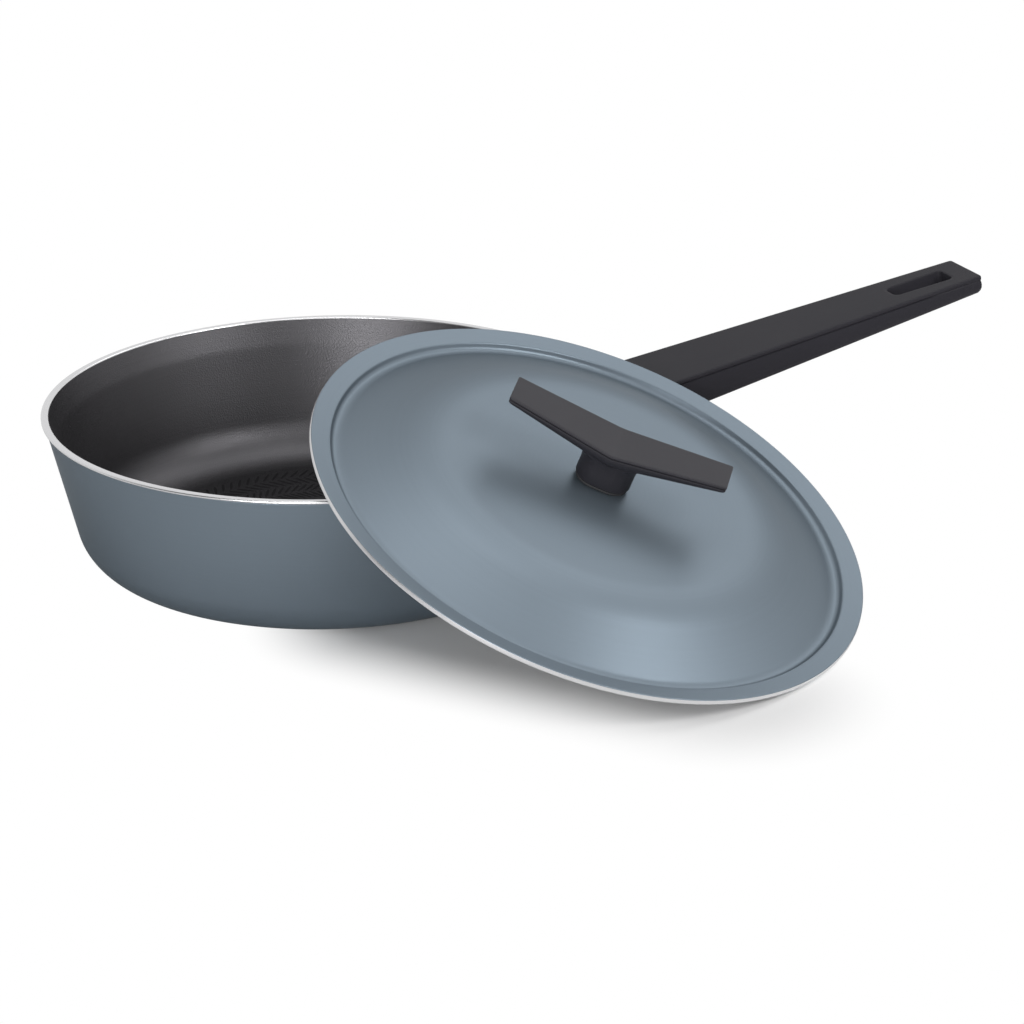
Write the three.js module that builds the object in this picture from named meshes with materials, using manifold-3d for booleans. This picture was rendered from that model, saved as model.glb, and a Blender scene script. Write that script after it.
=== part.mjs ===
// Frying pan with a long flat handle, and its lid leaning on the rim.
// Millimetres, +Z up. The origin is the middle of the pan's base, and the handle runs along +X.
import * as THREE from 'three';
import { mergeVertices } from 'three/addons/utils/BufferGeometryUtils.js';
import Module from 'manifold-3d';

const wasm = await Module();
wasm.setup();

// Fits and roundness
const GAP = 0.3;
const ROUND_STEPS = 72;
const SMALL_ROUND_STEPS = 24;
const CORNER_STEPS = 6;
const OVERRUN = 5;

// Pan
const RIM_RADIUS = 120;
const PAN_HEIGHT = 65.4;
const BASE_RADIUS = 104;
const WALL_THICKNESS = 3.2;
const BASE_THICKNESS = 4.5;
const CORNER_RADIUS = 25;
const RIM_BEAD = 1;
const RIM_BEAD_HEIGHT = 2.2;
const RIM_EDGE = 0.8;
const SEAT_DEPTH = 11;
const SEAT_STEP = 0.5;

// Handle, measured from the rim along its own slope
const HANDLE_DROP = 12.7;
const HANDLE_SLOPE = THREE.MathUtils.degToRad(10);
const HANDLE_LENGTH = 191.8;
const HANDLE_START = 3;
const HANDLE_ROOT_WIDTH = 43.2;
const HANDLE_END_WIDTH = 27.4;
const HANDLE_ROOT_HEIGHT = 17.6;
const HANDLE_END_HEIGHT = 8.8;
const HANDLE_END_CORNER = 1.2;
const HANDLE_TIP_ROUND = 4;
const SLOT_LENGTH = 29;
const SLOT_END_WALL = 10.6;
const SLOT_INNER_WIDTH = 9.8;
const SLOT_OUTER_WIDTH = 12.2;
const SLOT_CORNER = 2.6;

// Handle fastening
const STUD_LENGTH = 32;
const STUD_WIDTH = 18;
const STUD_HEIGHT = 6.4;
const STUD_ROOF = 3.4;
const GUARD_LENGTH = 13;
const GUARD_WALL = 1.2;
const HANDLE_SCREW_AT = 23;
const HANDLE_SCREW_RADIUS = 2.5;
const HANDLE_HEAD_RADIUS = 4.6;
const HANDLE_HEAD_HEIGHT = 2.2;
const HANDLE_WASHER_THICKNESS = 0.8;
const HANDLE_SCREW_WALL = 2.4;

// Lid
const LID_RADIUS = 116.5;
const LID_THICKNESS = 2;
const BRIM_WIDTH = 8.2;
const BRIM_DROP = 1.6;
const GROOVE_RADIUS = 104.1;
const GROOVE_DEPTH = 3.9;
const GROOVE_FLOOR = 2.9;
const GROOVE_ROUND = 2.2;
const PLATEAU_RADIUS = 72.8;
const PLATEAU_HEIGHT = 10.8;
const SHOULDER_ROUND = 9;

// How the lid leans
const LEAN_HEADING = THREE.MathUtils.degToRad(-57.2);
const LEAN_SHIFT = -4.2;
const LEAN_CONTACT = 21;
const LEAN_STEPS = 40;

// Knob
const KNOB_TURN = THREE.MathUtils.degToRad(23.9);
const KNOB_HALF_LENGTH = 45.9;
const KNOB_MIDDLE_WIDTH = 23.8;
const KNOB_END_WIDTH = 17.6;
const KNOB_MIDDLE_HEIGHT = 19.6;
const KNOB_END_RISE = 5.4;
const KNOB_MIDDLE_THICKNESS = 7;
const KNOB_END_THICKNESS = 4;
const STEM_LENGTH = 23;
const STEM_WIDTH = 17;
const GASKET_THICKNESS = 1;
const GASKET_INSET = 0.6;
const INSERT_RADIUS = 4;
const INSERT_LENGTH = 10.5;
const KNOB_SCREW_RADIUS = 2;
const KNOB_SCREW_GRIP = 7.5;
const KNOB_HEAD_RADIUS = 4.2;
const KNOB_HEAD_HEIGHT = 2.2;
const KNOB_WASHER_THICKNESS = 0.8;
const WASHER_MARGIN = 1.1;
const CROSS_WIDTH = 1;
const CROSS_DEPTH = 1.2;
const CROSS_MARGIN = 1.6;

const point = (x, y) => new THREE.Vector2(x, y);

// A geometry with shared corners, no collapsed faces, and its faces pointing out.
function tidy(source) {
  const bare = source.index ? source.toNonIndexed() : source.clone();
  bare.deleteAttribute('normal');
  bare.deleteAttribute('uv');
  const merged = mergeVertices(bare, 1e-4);
  const corners = merged.attributes.position.array;
  const at = (i) => new THREE.Vector3().fromArray(corners, 3 * i);
  const faces = [];
  let volume = 0;
  for (let i = 0; i < merged.index.count; i += 3) {
    const [a, b, c] = merged.index.array.slice(i, i + 3);
    if (a === b || b === c || c === a) continue;
    faces.push([a, b, c]);
    volume += at(a).dot(at(b).cross(at(c)));
  }
  merged.setIndex(faces.map((f) => (volume < 0 ? f.reverse() : f)).flat());
  return merged;
}

// A closed geometry as a solid that can be joined or cut.
function solid(source) {
  const closed = tidy(source);
  const vertProperties = new Float32Array(closed.attributes.position.array);
  const triVerts = new Uint32Array(closed.index.array);
  return new wasm.Manifold(new wasm.Mesh({ numProp: 3, vertProperties, triVerts }));
}

// A solid back as a geometry.
function geometryOf(made) {
  const { vertProperties, triVerts, numProp } = made.getMesh();
  const geometry = new THREE.BufferGeometry();
  const positions = new THREE.InterleavedBuffer(vertProperties, numProp);
  geometry.setAttribute('position', new THREE.InterleavedBufferAttribute(positions, 3, 0));
  geometry.setIndex([...triVerts]);
  const plain = geometry.toNonIndexed();
  plain.computeVertexNormals();
  return plain;
}

// A profile of (radius, height) points turned about the Z axis.
function turned(profile, steps = ROUND_STEPS) {
  return solid(new THREE.LatheGeometry(profile, steps).rotateX(Math.PI / 2));
}

// A plain disc or a ring.
function ring(inner, outer, low, high, steps = SMALL_ROUND_STEPS) {
  const profile = [point(inner, low), point(outer, low), point(outer, high), point(inner, high)];
  return turned([...profile, profile[0]], steps);
}

// A plan outline raised from one height to another.
function raised(shape, low, high) {
  const settings = { depth: high - low, bevelEnabled: false, curveSegments: CORNER_STEPS };
  return solid(new THREE.ExtrudeGeometry(shape, settings).translate(0, 0, low));
}

// A side outline in X and Z carried across Y to both sides.
function spread(shape, width) {
  const settings = { depth: width, bevelEnabled: false, curveSegments: CORNER_STEPS };
  const geometry = new THREE.ExtrudeGeometry(shape, settings).rotateX(Math.PI / 2);
  return solid(geometry.translate(0, width / 2, 0));
}

function block(low, high) {
  const size = new THREE.Vector3().subVectors(high, low);
  const middle = new THREE.Vector3().addVectors(low, high).multiplyScalar(0.5);
  return solid(new THREE.BoxGeometry(...size.toArray()).translate(...middle.toArray()));
}

// A closed outline whose corners are rounded, each [x, y, radius].
function roundedOutline(corners, outline = new THREE.Shape()) {
  corners.forEach(([x, y, radius], i) => {
    const corner = point(x, y);
    const last = corners.at(i - 1);
    const next = corners[(i + 1) % corners.length];
    const from = point(last[0], last[1]).sub(corner).setLength(radius).add(corner);
    const to = point(next[0], next[1]).sub(corner).setLength(radius).add(corner);
    if (i === 0) outline.moveTo(from.x, from.y);
    else outline.lineTo(from.x, from.y);
    if (radius > 0) outline.quadraticCurveTo(x, y, to.x, to.y);
  });
  outline.closePath();
  return outline;
}

// Points of a bend that replaces the corner b of the line a, b, c.
function bend(a, b, c, reach) {
  const from = a.clone().sub(b).setLength(reach).add(b);
  const to = c.clone().sub(b).setLength(reach).add(b);
  return new THREE.QuadraticBezierCurve(from, b, to).getPoints(CORNER_STEPS);
}

// A tablet with round ends, lying along X.
function tablet(length, width, shape = new THREE.Shape()) {
  const straight = (length - width) / 2;
  shape.absarc(straight, 0, width / 2, -Math.PI / 2, Math.PI / 2, false);
  shape.absarc(-straight, 0, width / 2, Math.PI / 2, 1.5 * Math.PI, false);
  shape.closePath();
  return shape;
}

// Pan wall: a straight cone from the base to the rim
const wallTopRadius = RIM_RADIUS - RIM_BEAD;
const wallAngle = Math.atan2(PAN_HEIGHT, wallTopRadius - BASE_RADIUS);
const outerWall = (z) => BASE_RADIUS + z / Math.tan(wallAngle);
const innerWall = (z) => outerWall(z) - WALL_THICKNESS / Math.sin(wallAngle);

// The round corner between a flat base at height z and the wall that would meet it at radius r.
function baseCorner(r, z, radius) {
  const middle = point(r - radius * Math.tan(wallAngle / 2), z + radius);
  return Array.from({ length: CORNER_STEPS + 1 }, (_, i) => {
    const angle = -Math.PI / 2 + (wallAngle * i) / CORNER_STEPS;
    return point(middle.x + radius * Math.cos(angle), middle.y + radius * Math.sin(angle));
  });
}

const rimCrest = [point(RIM_RADIUS, PAN_HEIGHT - RIM_EDGE), point(RIM_RADIUS - RIM_EDGE, PAN_HEIGHT)];

function panOutside() {
  const beadLow = PAN_HEIGHT - RIM_BEAD_HEIGHT;
  return [
    point(0, 0),
    ...baseCorner(BASE_RADIUS, 0, CORNER_RADIUS),
    point(outerWall(beadLow), beadLow),
    point(RIM_RADIUS, beadLow + RIM_BEAD),
    ...rimCrest,
  ];
}

function panInside() {
  const seatLow = PAN_HEIGHT - SEAT_DEPTH;
  const mouth = innerWall(PAN_HEIGHT) + SEAT_STEP;
  const stepLow = seatLow - SEAT_STEP;
  const floorCorner = baseCorner(innerWall(BASE_THICKNESS), BASE_THICKNESS, CORNER_RADIUS - WALL_THICKNESS);
  return [
    point(mouth + RIM_EDGE, PAN_HEIGHT),
    point(mouth, PAN_HEIGHT - RIM_EDGE),
    point(innerWall(seatLow) + SEAT_STEP, seatLow),
    point(innerWall(stepLow), stepLow),
    ...floorCorner.reverse(),
    point(0, BASE_THICKNESS),
  ];
}

const panShell = turned([...panOutside(), ...panInside()]);

// The space that the pan takes from what is fixed to its wall.
function panKeepOut() {
  const clear = GAP / Math.sin(wallAngle);
  const profile = panOutside().map((p) => point(p.x > 0 ? p.x + clear : 0, p.y));
  return turned([...profile, point(0, PAN_HEIGHT)]);
}

// Handle frame: X along the top face, starting under the rim's edge
const handleFrame = new THREE.Group();
handleFrame.position.set(RIM_RADIUS, 0, PAN_HEIGHT - HANDLE_DROP);
handleFrame.rotation.y = -HANDLE_SLOPE;
handleFrame.updateMatrixWorld(true);

const handleKeepOut = geometryOf(panKeepOut()).applyMatrix4(handleFrame.matrixWorld.clone().invert());
const wallInHandle = solid(handleKeepOut);

const along = (x, root, end) => root + ((end - root) * x) / HANDLE_LENGTH;
const handleWidth = (x) => along(x, HANDLE_ROOT_WIDTH, HANDLE_END_WIDTH);
const handleHeight = (x) => along(x, HANDLE_ROOT_HEIGHT, HANDLE_END_HEIGHT);

// The handle's tapered block between two places, grown on every side.
function handleBlock(start, end, grow) {
  const sideAt = (x) => handleWidth(x) / 2 + grow;
  const plan = roundedOutline([
    [start, -sideAt(start), 0],
    [end, -sideAt(end), 0],
    [end, sideAt(end), 0],
    [start, sideAt(start), 0],
  ]);
  const side = roundedOutline([
    [start, grow, 0],
    [start, -handleHeight(start) - grow, 0],
    [end, -handleHeight(end) - grow, 0],
    [end, grow, 0],
  ]);
  const depth = HANDLE_ROOT_HEIGHT + grow + OVERRUN;
  const width = HANDLE_ROOT_WIDTH + 2 * (grow + OVERRUN);
  return raised(plan, -depth, grow + OVERRUN).intersect(spread(side, width));
}

const studTop = -STUD_ROOF;
const studLow = studTop - STUD_HEIGHT;
const rootReach = -(RIM_RADIUS - BASE_RADIUS) - WALL_THICKNESS;

function handleOutline() {
  const root = handleWidth(HANDLE_START) / 2;
  const end = HANDLE_END_WIDTH / 2;
  const plan = roundedOutline([
    [HANDLE_START, -root, 0],
    [HANDLE_LENGTH, -end, HANDLE_END_CORNER],
    [HANDLE_LENGTH, end, HANDLE_END_CORNER],
    [HANDLE_START, root, 0],
  ]);
  const slotEnd = HANDLE_LENGTH - SLOT_END_WALL;
  const slotStart = slotEnd - SLOT_LENGTH;
  const slot = [
    [slotStart, -SLOT_INNER_WIDTH / 2, SLOT_CORNER],
    [slotEnd, -SLOT_OUTER_WIDTH / 2, SLOT_CORNER],
    [slotEnd, SLOT_OUTER_WIDTH / 2, SLOT_CORNER],
    [slotStart, SLOT_INNER_WIDTH / 2, SLOT_CORNER],
  ];
  plan.holes.push(roundedOutline(slot, new THREE.Path()));
  return plan;
}

// Screw stack under the handle: head, washer, then the wall below the stud
const screwSeat = studLow - GAP - HANDLE_SCREW_WALL;
const washerHigh = screwSeat - GAP;
const washerLow = washerHigh - HANDLE_WASHER_THICKNESS;
const headHigh = washerLow - GAP;
const headLow = headHigh - HANDLE_HEAD_HEIGHT;

const upright = (made, x) => made.translate([x, 0, 0]);

function handleGrip() {
  const side = roundedOutline([
    [HANDLE_START, 0, 0],
    [HANDLE_START, -handleHeight(HANDLE_START), 0],
    [HANDLE_LENGTH, -HANDLE_END_HEIGHT, HANDLE_TIP_ROUND],
    [HANDLE_LENGTH, 0, 0],
  ]);
  const plan = raised(handleOutline(), -HANDLE_ROOT_HEIGHT - OVERRUN, OVERRUN);
  const body = plan.intersect(spread(side, HANDLE_ROOT_WIDTH + OVERRUN));
  const socket = block(
    new THREE.Vector3(HANDLE_START - OVERRUN, -STUD_WIDTH / 2 - GAP, studLow - GAP),
    new THREE.Vector3(STUD_LENGTH + GAP, STUD_WIDTH / 2 + GAP, studTop + GAP),
  );
  const shank = ring(0, HANDLE_SCREW_RADIUS + GAP, -HANDLE_ROOT_HEIGHT - OVERRUN, studLow);
  const bore = HANDLE_HEAD_RADIUS + WASHER_MARGIN + GAP;
  const sunk = ring(0, bore, -HANDLE_ROOT_HEIGHT - OVERRUN, screwSeat);
  return body.subtract(socket).subtract(upright(shank.add(sunk), HANDLE_SCREW_AT));
}

function handleStud() {
  const bar = block(
    new THREE.Vector3(rootReach, -STUD_WIDTH / 2, studLow),
    new THREE.Vector3(STUD_LENGTH, STUD_WIDTH / 2, studTop),
  );
  const thread = ring(0, HANDLE_SCREW_RADIUS + GAP, studLow - OVERRUN, studTop + OVERRUN);
  return bar.subtract(wallInHandle).subtract(upright(thread, HANDLE_SCREW_AT));
}

function flameGuard() {
  const outer = handleBlock(rootReach, GUARD_LENGTH, GAP + GUARD_WALL);
  const inner = handleBlock(rootReach - OVERRUN, GUARD_LENGTH + OVERRUN, GAP);
  return outer.subtract(inner).subtract(wallInHandle);
}

// A round-headed screw standing on its head, with a cross cut into the head.
function screw(radius, tip, headRadius, headTop, headBottom) {
  const body = ring(0, headRadius, headBottom, headTop).add(ring(0, radius, headTop - GAP, tip));
  const reach = headRadius - CROSS_MARGIN;
  const cut = block(
    new THREE.Vector3(-reach, -CROSS_WIDTH / 2, headBottom - OVERRUN),
    new THREE.Vector3(reach, CROSS_WIDTH / 2, headBottom + CROSS_DEPTH),
  );
  return body.subtract(cut).subtract(cut.rotate([0, 0, 90]));
}

// Lid section: brim, groove with a steep outer side, sloping ring and flat middle
const lidCorners = [
  point(LID_RADIUS, 0),
  point(LID_RADIUS - BRIM_WIDTH, -BRIM_DROP),
  point(GROOVE_RADIUS + GROOVE_FLOOR, -GROOVE_DEPTH),
  point(GROOVE_RADIUS, -GROOVE_DEPTH),
  point(PLATEAU_RADIUS, PLATEAU_HEIGHT),
  point(KNOB_SCREW_RADIUS + GAP, PLATEAU_HEIGHT),
];

// The same section line on the sheet's other face.
function beneath(corners, depth) {
  const downs = corners.slice(1).map((to, i) => {
    const way = to.clone().sub(corners[i]).normalize();
    return point(-way.y, way.x);
  });
  return corners.map((corner, i) => {
    const [last, next] = [downs[Math.max(i - 1, 0)], downs[Math.min(i, downs.length - 1)]];
    const shift = last.clone().add(next).multiplyScalar(depth / (1 + last.dot(next)));
    return corner.clone().add(shift);
  });
}

// A section line with its bends rounded.
function pressed([edge, root, foot, groove, shoulder, hole]) {
  return [
    edge,
    ...bend(edge, root, foot, GROOVE_ROUND / 2),
    ...bend(root, foot, groove, GROOVE_ROUND / 2),
    ...bend(foot, groove, shoulder, GROOVE_ROUND / 2),
    ...bend(groove, shoulder, hole, SHOULDER_ROUND),
    hole,
  ];
}
const lidTop = pressed(lidCorners);
const lidUnder = pressed(beneath(lidCorners, LID_THICKNESS)).reverse();
const lidShell = turned([...lidTop, ...lidUnder, lidTop[0]]);

// The lid leans with its low edge on the floor and the rim's crest under its flat middle.
const hollow = PLATEAU_HEIGHT - LID_THICKNESS - GAP;
const plankLength = LID_RADIUS + LEAN_CONTACT;
const plankDepth = hollow + LID_THICKNESS;
const plankRise = PAN_HEIGHT - GAP;
const lean = Math.asin(plankRise / Math.hypot(plankLength, plankDepth)) - Math.atan2(plankDepth, plankLength);
const farthest = (points, x, y) => Math.max(...points.map((p) => p.x * x + p.y * y));
const leanHeight = farthest(lidUnder, Math.sin(lean), -Math.cos(lean)) + GAP;

// The height of the lid's underside at a radius, above the plane of its brim.
function undersideAt(radius) {
  const next = lidUnder.findIndex((p) => p.x > radius);
  if (next < 0) return Infinity;
  const [low, high] = [lidUnder[Math.max(next - 1, 0)], lidUnder[next]];
  const share = (radius - low.x) / (high.x - low.x || 1);
  return THREE.MathUtils.lerp(low.y, high.y, share);
}

// The least room between the rim's crest and the lid's underside, with the lid's middle this far out.
function leanRoom(distance) {
  let room = Infinity;
  for (const crest of rimCrest) {
    for (let i = -ROUND_STEPS; i <= ROUND_STEPS; i += 1) {
      const turn = (Math.PI * i) / (2 * ROUND_STEPS);
      const x = crest.x * Math.cos(turn) - distance;
      const y = crest.x * Math.sin(turn) - LEAN_SHIFT;
      const z = crest.y - leanHeight;
      const radius = Math.hypot(x * Math.cos(lean) - z * Math.sin(lean), y);
      room = Math.min(room, undersideAt(radius) - x * Math.sin(lean) - z * Math.cos(lean));
    }
  }
  return room;
}

// The nearest the lid's middle comes to the pan's axis before its underside meets the rim.
function nearestLean() {
  let near = 0;
  let far = RIM_RADIUS + LID_RADIUS;
  for (let i = 0; i < LEAN_STEPS; i += 1) {
    const middle = (near + far) / 2;
    if (leanRoom(middle) < GAP) near = middle;
    else far = middle;
  }
  return far;
}
const leanDistance = nearestLean();

const lidFrame = new THREE.Group();
lidFrame.position.set(leanDistance, LEAN_SHIFT, leanHeight);
lidFrame.position.applyAxisAngle(new THREE.Vector3(0, 0, 1), LEAN_HEADING);
lidFrame.rotation.set(0, lean, LEAN_HEADING, 'ZYX');

// Knob stack above the lid, and its screw and washer below
const gasketLow = PLATEAU_HEIGHT + GAP;
const gasketHigh = gasketLow + GASKET_THICKNESS;
const stemLow = gasketHigh + GAP;
const knobTop = PLATEAU_HEIGHT + KNOB_MIDDLE_HEIGHT;
const knobUnder = knobTop - KNOB_MIDDLE_THICKNESS;
const endTop = knobTop + KNOB_END_RISE;
const insertHigh = stemLow + INSERT_LENGTH;
const lidWasherHigh = PLATEAU_HEIGHT - LID_THICKNESS - GAP;
const lidWasherLow = lidWasherHigh - KNOB_WASHER_THICKNESS;
const lidHeadHigh = lidWasherLow - GAP;
const lidHeadLow = lidHeadHigh - KNOB_HEAD_HEIGHT;
const knobScrewTip = stemLow + KNOB_SCREW_GRIP;

function lidKnob() {
  const middle = KNOB_MIDDLE_WIDTH / 2;
  const end = KNOB_END_WIDTH / 2;
  const plan = roundedOutline([
    [0, -middle, 0],
    [KNOB_HALF_LENGTH, -end, 0],
    [KNOB_HALF_LENGTH, end, 0],
    [0, middle, 0],
    [-KNOB_HALF_LENGTH, end, 0],
    [-KNOB_HALF_LENGTH, -end, 0],
  ]);
  const side = roundedOutline([
    [-KNOB_HALF_LENGTH, endTop, 0],
    [-KNOB_HALF_LENGTH, endTop - KNOB_END_THICKNESS, 0],
    [0, knobUnder, 0],
    [KNOB_HALF_LENGTH, endTop - KNOB_END_THICKNESS, 0],
    [KNOB_HALF_LENGTH, endTop, 0],
    [0, knobTop, 0],
  ]);
  const wings = raised(plan, 0, endTop + OVERRUN).intersect(spread(side, KNOB_MIDDLE_WIDTH + OVERRUN));
  const stem = raised(tablet(STEM_LENGTH, STEM_WIDTH), stemLow, knobTop - KNOB_MIDDLE_THICKNESS / 2);
  const socket = ring(0, INSERT_RADIUS + GAP, stemLow - OVERRUN, insertHigh + GAP);
  return wings.add(stem).subtract(socket);
}

function knobGasket() {
  const pad = tablet(STEM_LENGTH - 2 * GASKET_INSET, STEM_WIDTH - 2 * GASKET_INSET);
  const hole = ring(0, KNOB_SCREW_RADIUS + GAP, gasketLow - OVERRUN, gasketHigh + OVERRUN);
  return raised(pad, gasketLow, gasketHigh).subtract(hole);
}

const slatePaint = new THREE.MeshStandardMaterial({ color: 0x77848f, roughness: 0.45, metalness: 0.3 });
const blackPhenolic = new THREE.MeshStandardMaterial({ color: 0x323136, roughness: 0.7, metalness: 0 });
const bareAluminium = new THREE.MeshStandardMaterial({ color: 0xc9cacd, roughness: 0.35, metalness: 1 });
const steel = new THREE.MeshStandardMaterial({ color: 0xb4b5b8, roughness: 0.3, metalness: 1 });
const brass = new THREE.MeshStandardMaterial({ color: 0xb58d3d, roughness: 0.35, metalness: 1 });
const silicone = new THREE.MeshStandardMaterial({ color: 0x26262a, roughness: 0.8, metalness: 0 });

function piece(name, made, material) {
  const mesh = new THREE.Mesh(geometryOf(made), material);
  mesh.name = name;
  return mesh;
}

const washerRadius = HANDLE_HEAD_RADIUS + WASHER_MARGIN;
const handleWasher = ring(HANDLE_SCREW_RADIUS + GAP, washerRadius, washerLow, washerHigh);
const handleScrewTip = studTop - GAP;
const handleScrew = screw(HANDLE_SCREW_RADIUS, handleScrewTip, HANDLE_HEAD_RADIUS, headHigh, headLow);
handleFrame.add(
  piece('handle_stud', handleStud(), bareAluminium),
  piece('flame_guard', flameGuard(), steel),
  piece('handle_grip', handleGrip(), blackPhenolic),
  piece('handle_washer', upright(handleWasher, HANDLE_SCREW_AT), steel),
  piece('handle_screw', upright(handleScrew, HANDLE_SCREW_AT), steel),
);

const shankClear = KNOB_SCREW_RADIUS + GAP;
const knobWasherRadius = KNOB_HEAD_RADIUS + WASHER_MARGIN;
const knobFrame = new THREE.Group();
knobFrame.rotation.z = KNOB_TURN;
knobFrame.add(
  piece('lid_knob', lidKnob(), blackPhenolic),
  piece('knob_gasket', knobGasket(), silicone),
  piece('knob_insert', ring(shankClear, INSERT_RADIUS, stemLow, insertHigh), brass),
  piece('knob_washer', ring(shankClear, knobWasherRadius, lidWasherLow, lidWasherHigh), steel),
  piece('knob_screw', screw(KNOB_SCREW_RADIUS, knobScrewTip, KNOB_HEAD_RADIUS, lidHeadHigh, lidHeadLow), steel),
);
lidFrame.add(piece('lid_shell', lidShell, slatePaint), knobFrame);

const fryingPan = new THREE.Group();
fryingPan.add(piece('pan_shell', panShell, slatePaint), handleFrame, lidFrame);

export default fryingPan;
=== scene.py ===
"""A frying pan with its lid leaning on the rim, dressed for a studio picture.

Sizes in the classes are millimetres and angles are degrees; the meshes are metres. The origin is
the middle of the pan's base, +X runs along the handle and +Z is up.
"""
import logging
import math
from dataclasses import dataclass, field, replace
from enum import Enum, IntEnum
from typing import Callable, Mapping, Sequence

import bmesh
import bpy
from mathutils import Matrix, Vector


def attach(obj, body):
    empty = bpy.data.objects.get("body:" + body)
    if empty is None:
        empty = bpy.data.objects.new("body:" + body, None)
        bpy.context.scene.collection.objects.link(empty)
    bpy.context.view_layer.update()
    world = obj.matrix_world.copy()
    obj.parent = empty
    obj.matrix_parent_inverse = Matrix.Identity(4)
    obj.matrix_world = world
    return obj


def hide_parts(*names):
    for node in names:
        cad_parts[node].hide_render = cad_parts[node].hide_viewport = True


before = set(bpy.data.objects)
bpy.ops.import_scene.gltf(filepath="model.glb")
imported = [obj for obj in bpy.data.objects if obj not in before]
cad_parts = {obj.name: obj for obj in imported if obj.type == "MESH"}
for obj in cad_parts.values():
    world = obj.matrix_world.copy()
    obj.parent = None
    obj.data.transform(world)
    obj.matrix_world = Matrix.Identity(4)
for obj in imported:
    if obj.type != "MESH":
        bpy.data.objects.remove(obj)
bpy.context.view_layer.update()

log = logging.getLogger("frying_pan")

Flat = tuple[float, float]
Spot = tuple[float, float, float]

MM = 0.001
FULL_TURN = 2.0 * math.pi
WHITE = (1.0, 1.0, 1.0, 1.0)

# Flats round a large and a small turned piece, and pieces of a rounded corner in an outline
PAN_STEPS = 224
SMALL_STEPS = 64
OUTLINE_STEPS = 7

# How far one piece of a small or a large round turns, and each round's share of a side
ROUND_TURN = math.radians(9.0)
LARGE_ROUND_TURN = math.radians(2.0)
LARGE_REACH = 5.0
LEAST_TURN = 0.01
SIDE_SHARE = 0.48

# Support points near both ends of a long straight line in a section
SUPPORT = 0.35
LONG_ENOUGH = 1.6

# Edges that stay sharp, edges that get a small round, and points that count as one
SHARP_ANGLE = math.radians(38.0)
BEVEL_ANGLE = math.radians(40.0)
BEVEL_STEPS = 3
FLAT_ANGLE = math.radians(0.5)
SAME_POINT = 0.01 * MM
SAME_TURNED_POINT = 0.001 * MM

# The gap round a screw's shank, and how much a moulded corner's round shrinks with its inset
CLEARANCE = 0.3
CORNER_SHRINK = 0.1


class Body(Enum):
    """The two bodies that pieces ride on."""

    PAN = "pan"
    LID = "lid"


class Slot(Enum):
    """Material slots of the record."""

    PAINT = "slate_paint"
    ALUMINIUM = "bare_aluminium"
    PHENOLIC = "black_phenolic"
    STEEL = "steel"
    BRASS = "brass"
    SILICONE = "silicone"


class Zone(IntEnum):
    """Parts of a turned section that can have finishes of their own."""

    OUTSIDE = 0
    EDGE = 1
    INSIDE = 2
    BASE = 3

    @property
    def label(self) -> str:
        """The name of the zone's input on a node tree."""
        return f"{self.name.title()} finish"


# Node trees


class NodePad:
    """Places and links the nodes of one tree."""

    def __init__(self, tree: bpy.types.NodeTree) -> None:
        """Keeps the tree that nodes are placed in."""
        self.tree = tree

    def add(self, kind: str, inputs: Mapping = {}, **settings: object) -> bpy.types.Node:
        """Places a node.

        Args:
            kind: the node's type name.
            inputs: a value or an output socket for each named or numbered input.
            settings: attributes of the node.

        Returns:
            The new node.
        """
        node = self.tree.nodes.new(kind)
        for key, value in settings.items():
            setattr(node, key, value)
        for key, value in inputs.items():
            if isinstance(value, bpy.types.NodeSocket):
                self.tree.links.new(value, node.inputs[key])
            else:
                node.inputs[key].default_value = value
        return node

    def math(self, operation: str, *values: object) -> bpy.types.NodeSocket:
        """Places a Math node.

        Args:
            operation: what it does.
            values: its inputs in order.

        Returns:
            The result's socket.
        """
        return self.add("ShaderNodeMath", dict(enumerate(values)), operation=operation).outputs[0]

    def whole(self, operation: str, *values: object) -> bpy.types.NodeSocket:
        """Places an Integer Math node.

        Args:
            operation: what it does.
            values: its inputs in order.

        Returns:
            The result's socket.
        """
        node = self.add("FunctionNodeIntegerMath", dict(enumerate(values)), operation=operation)
        return node.outputs[0]

    def vector(self, operation: str, inputs: Mapping) -> bpy.types.NodeSocket:
        """Places a Vector Math node.

        Args:
            operation: what it does.
            inputs: its inputs by name or number.

        Returns:
            The result's socket.
        """
        node = self.add("ShaderNodeVectorMath", inputs, operation=operation)
        return node.outputs["Value" if operation in ("DOT_PRODUCT", "DISTANCE") else "Vector"]

    def socket(self, name: str, kind: str, output: bool = False) -> str:
        """Adds a named input or output to the tree.

        Args:
            name: the socket's name.
            kind: its type, without the common prefix.
            output: True for an output.

        Returns:
            The socket's identifier.
        """
        way = "OUTPUT" if output else "INPUT"
        made = self.tree.interface.new_socket(name, in_out=way, socket_type=f"NodeSocket{kind}")
        return made.identifier


def emptied(owner: bpy.types.Material | bpy.types.World) -> NodePad:
    """Returns a pad on the emptied node tree of a material or a world."""
    owner.use_nodes = True
    owner.node_tree.nodes.clear()
    return NodePad(owner.node_tree)


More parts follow.
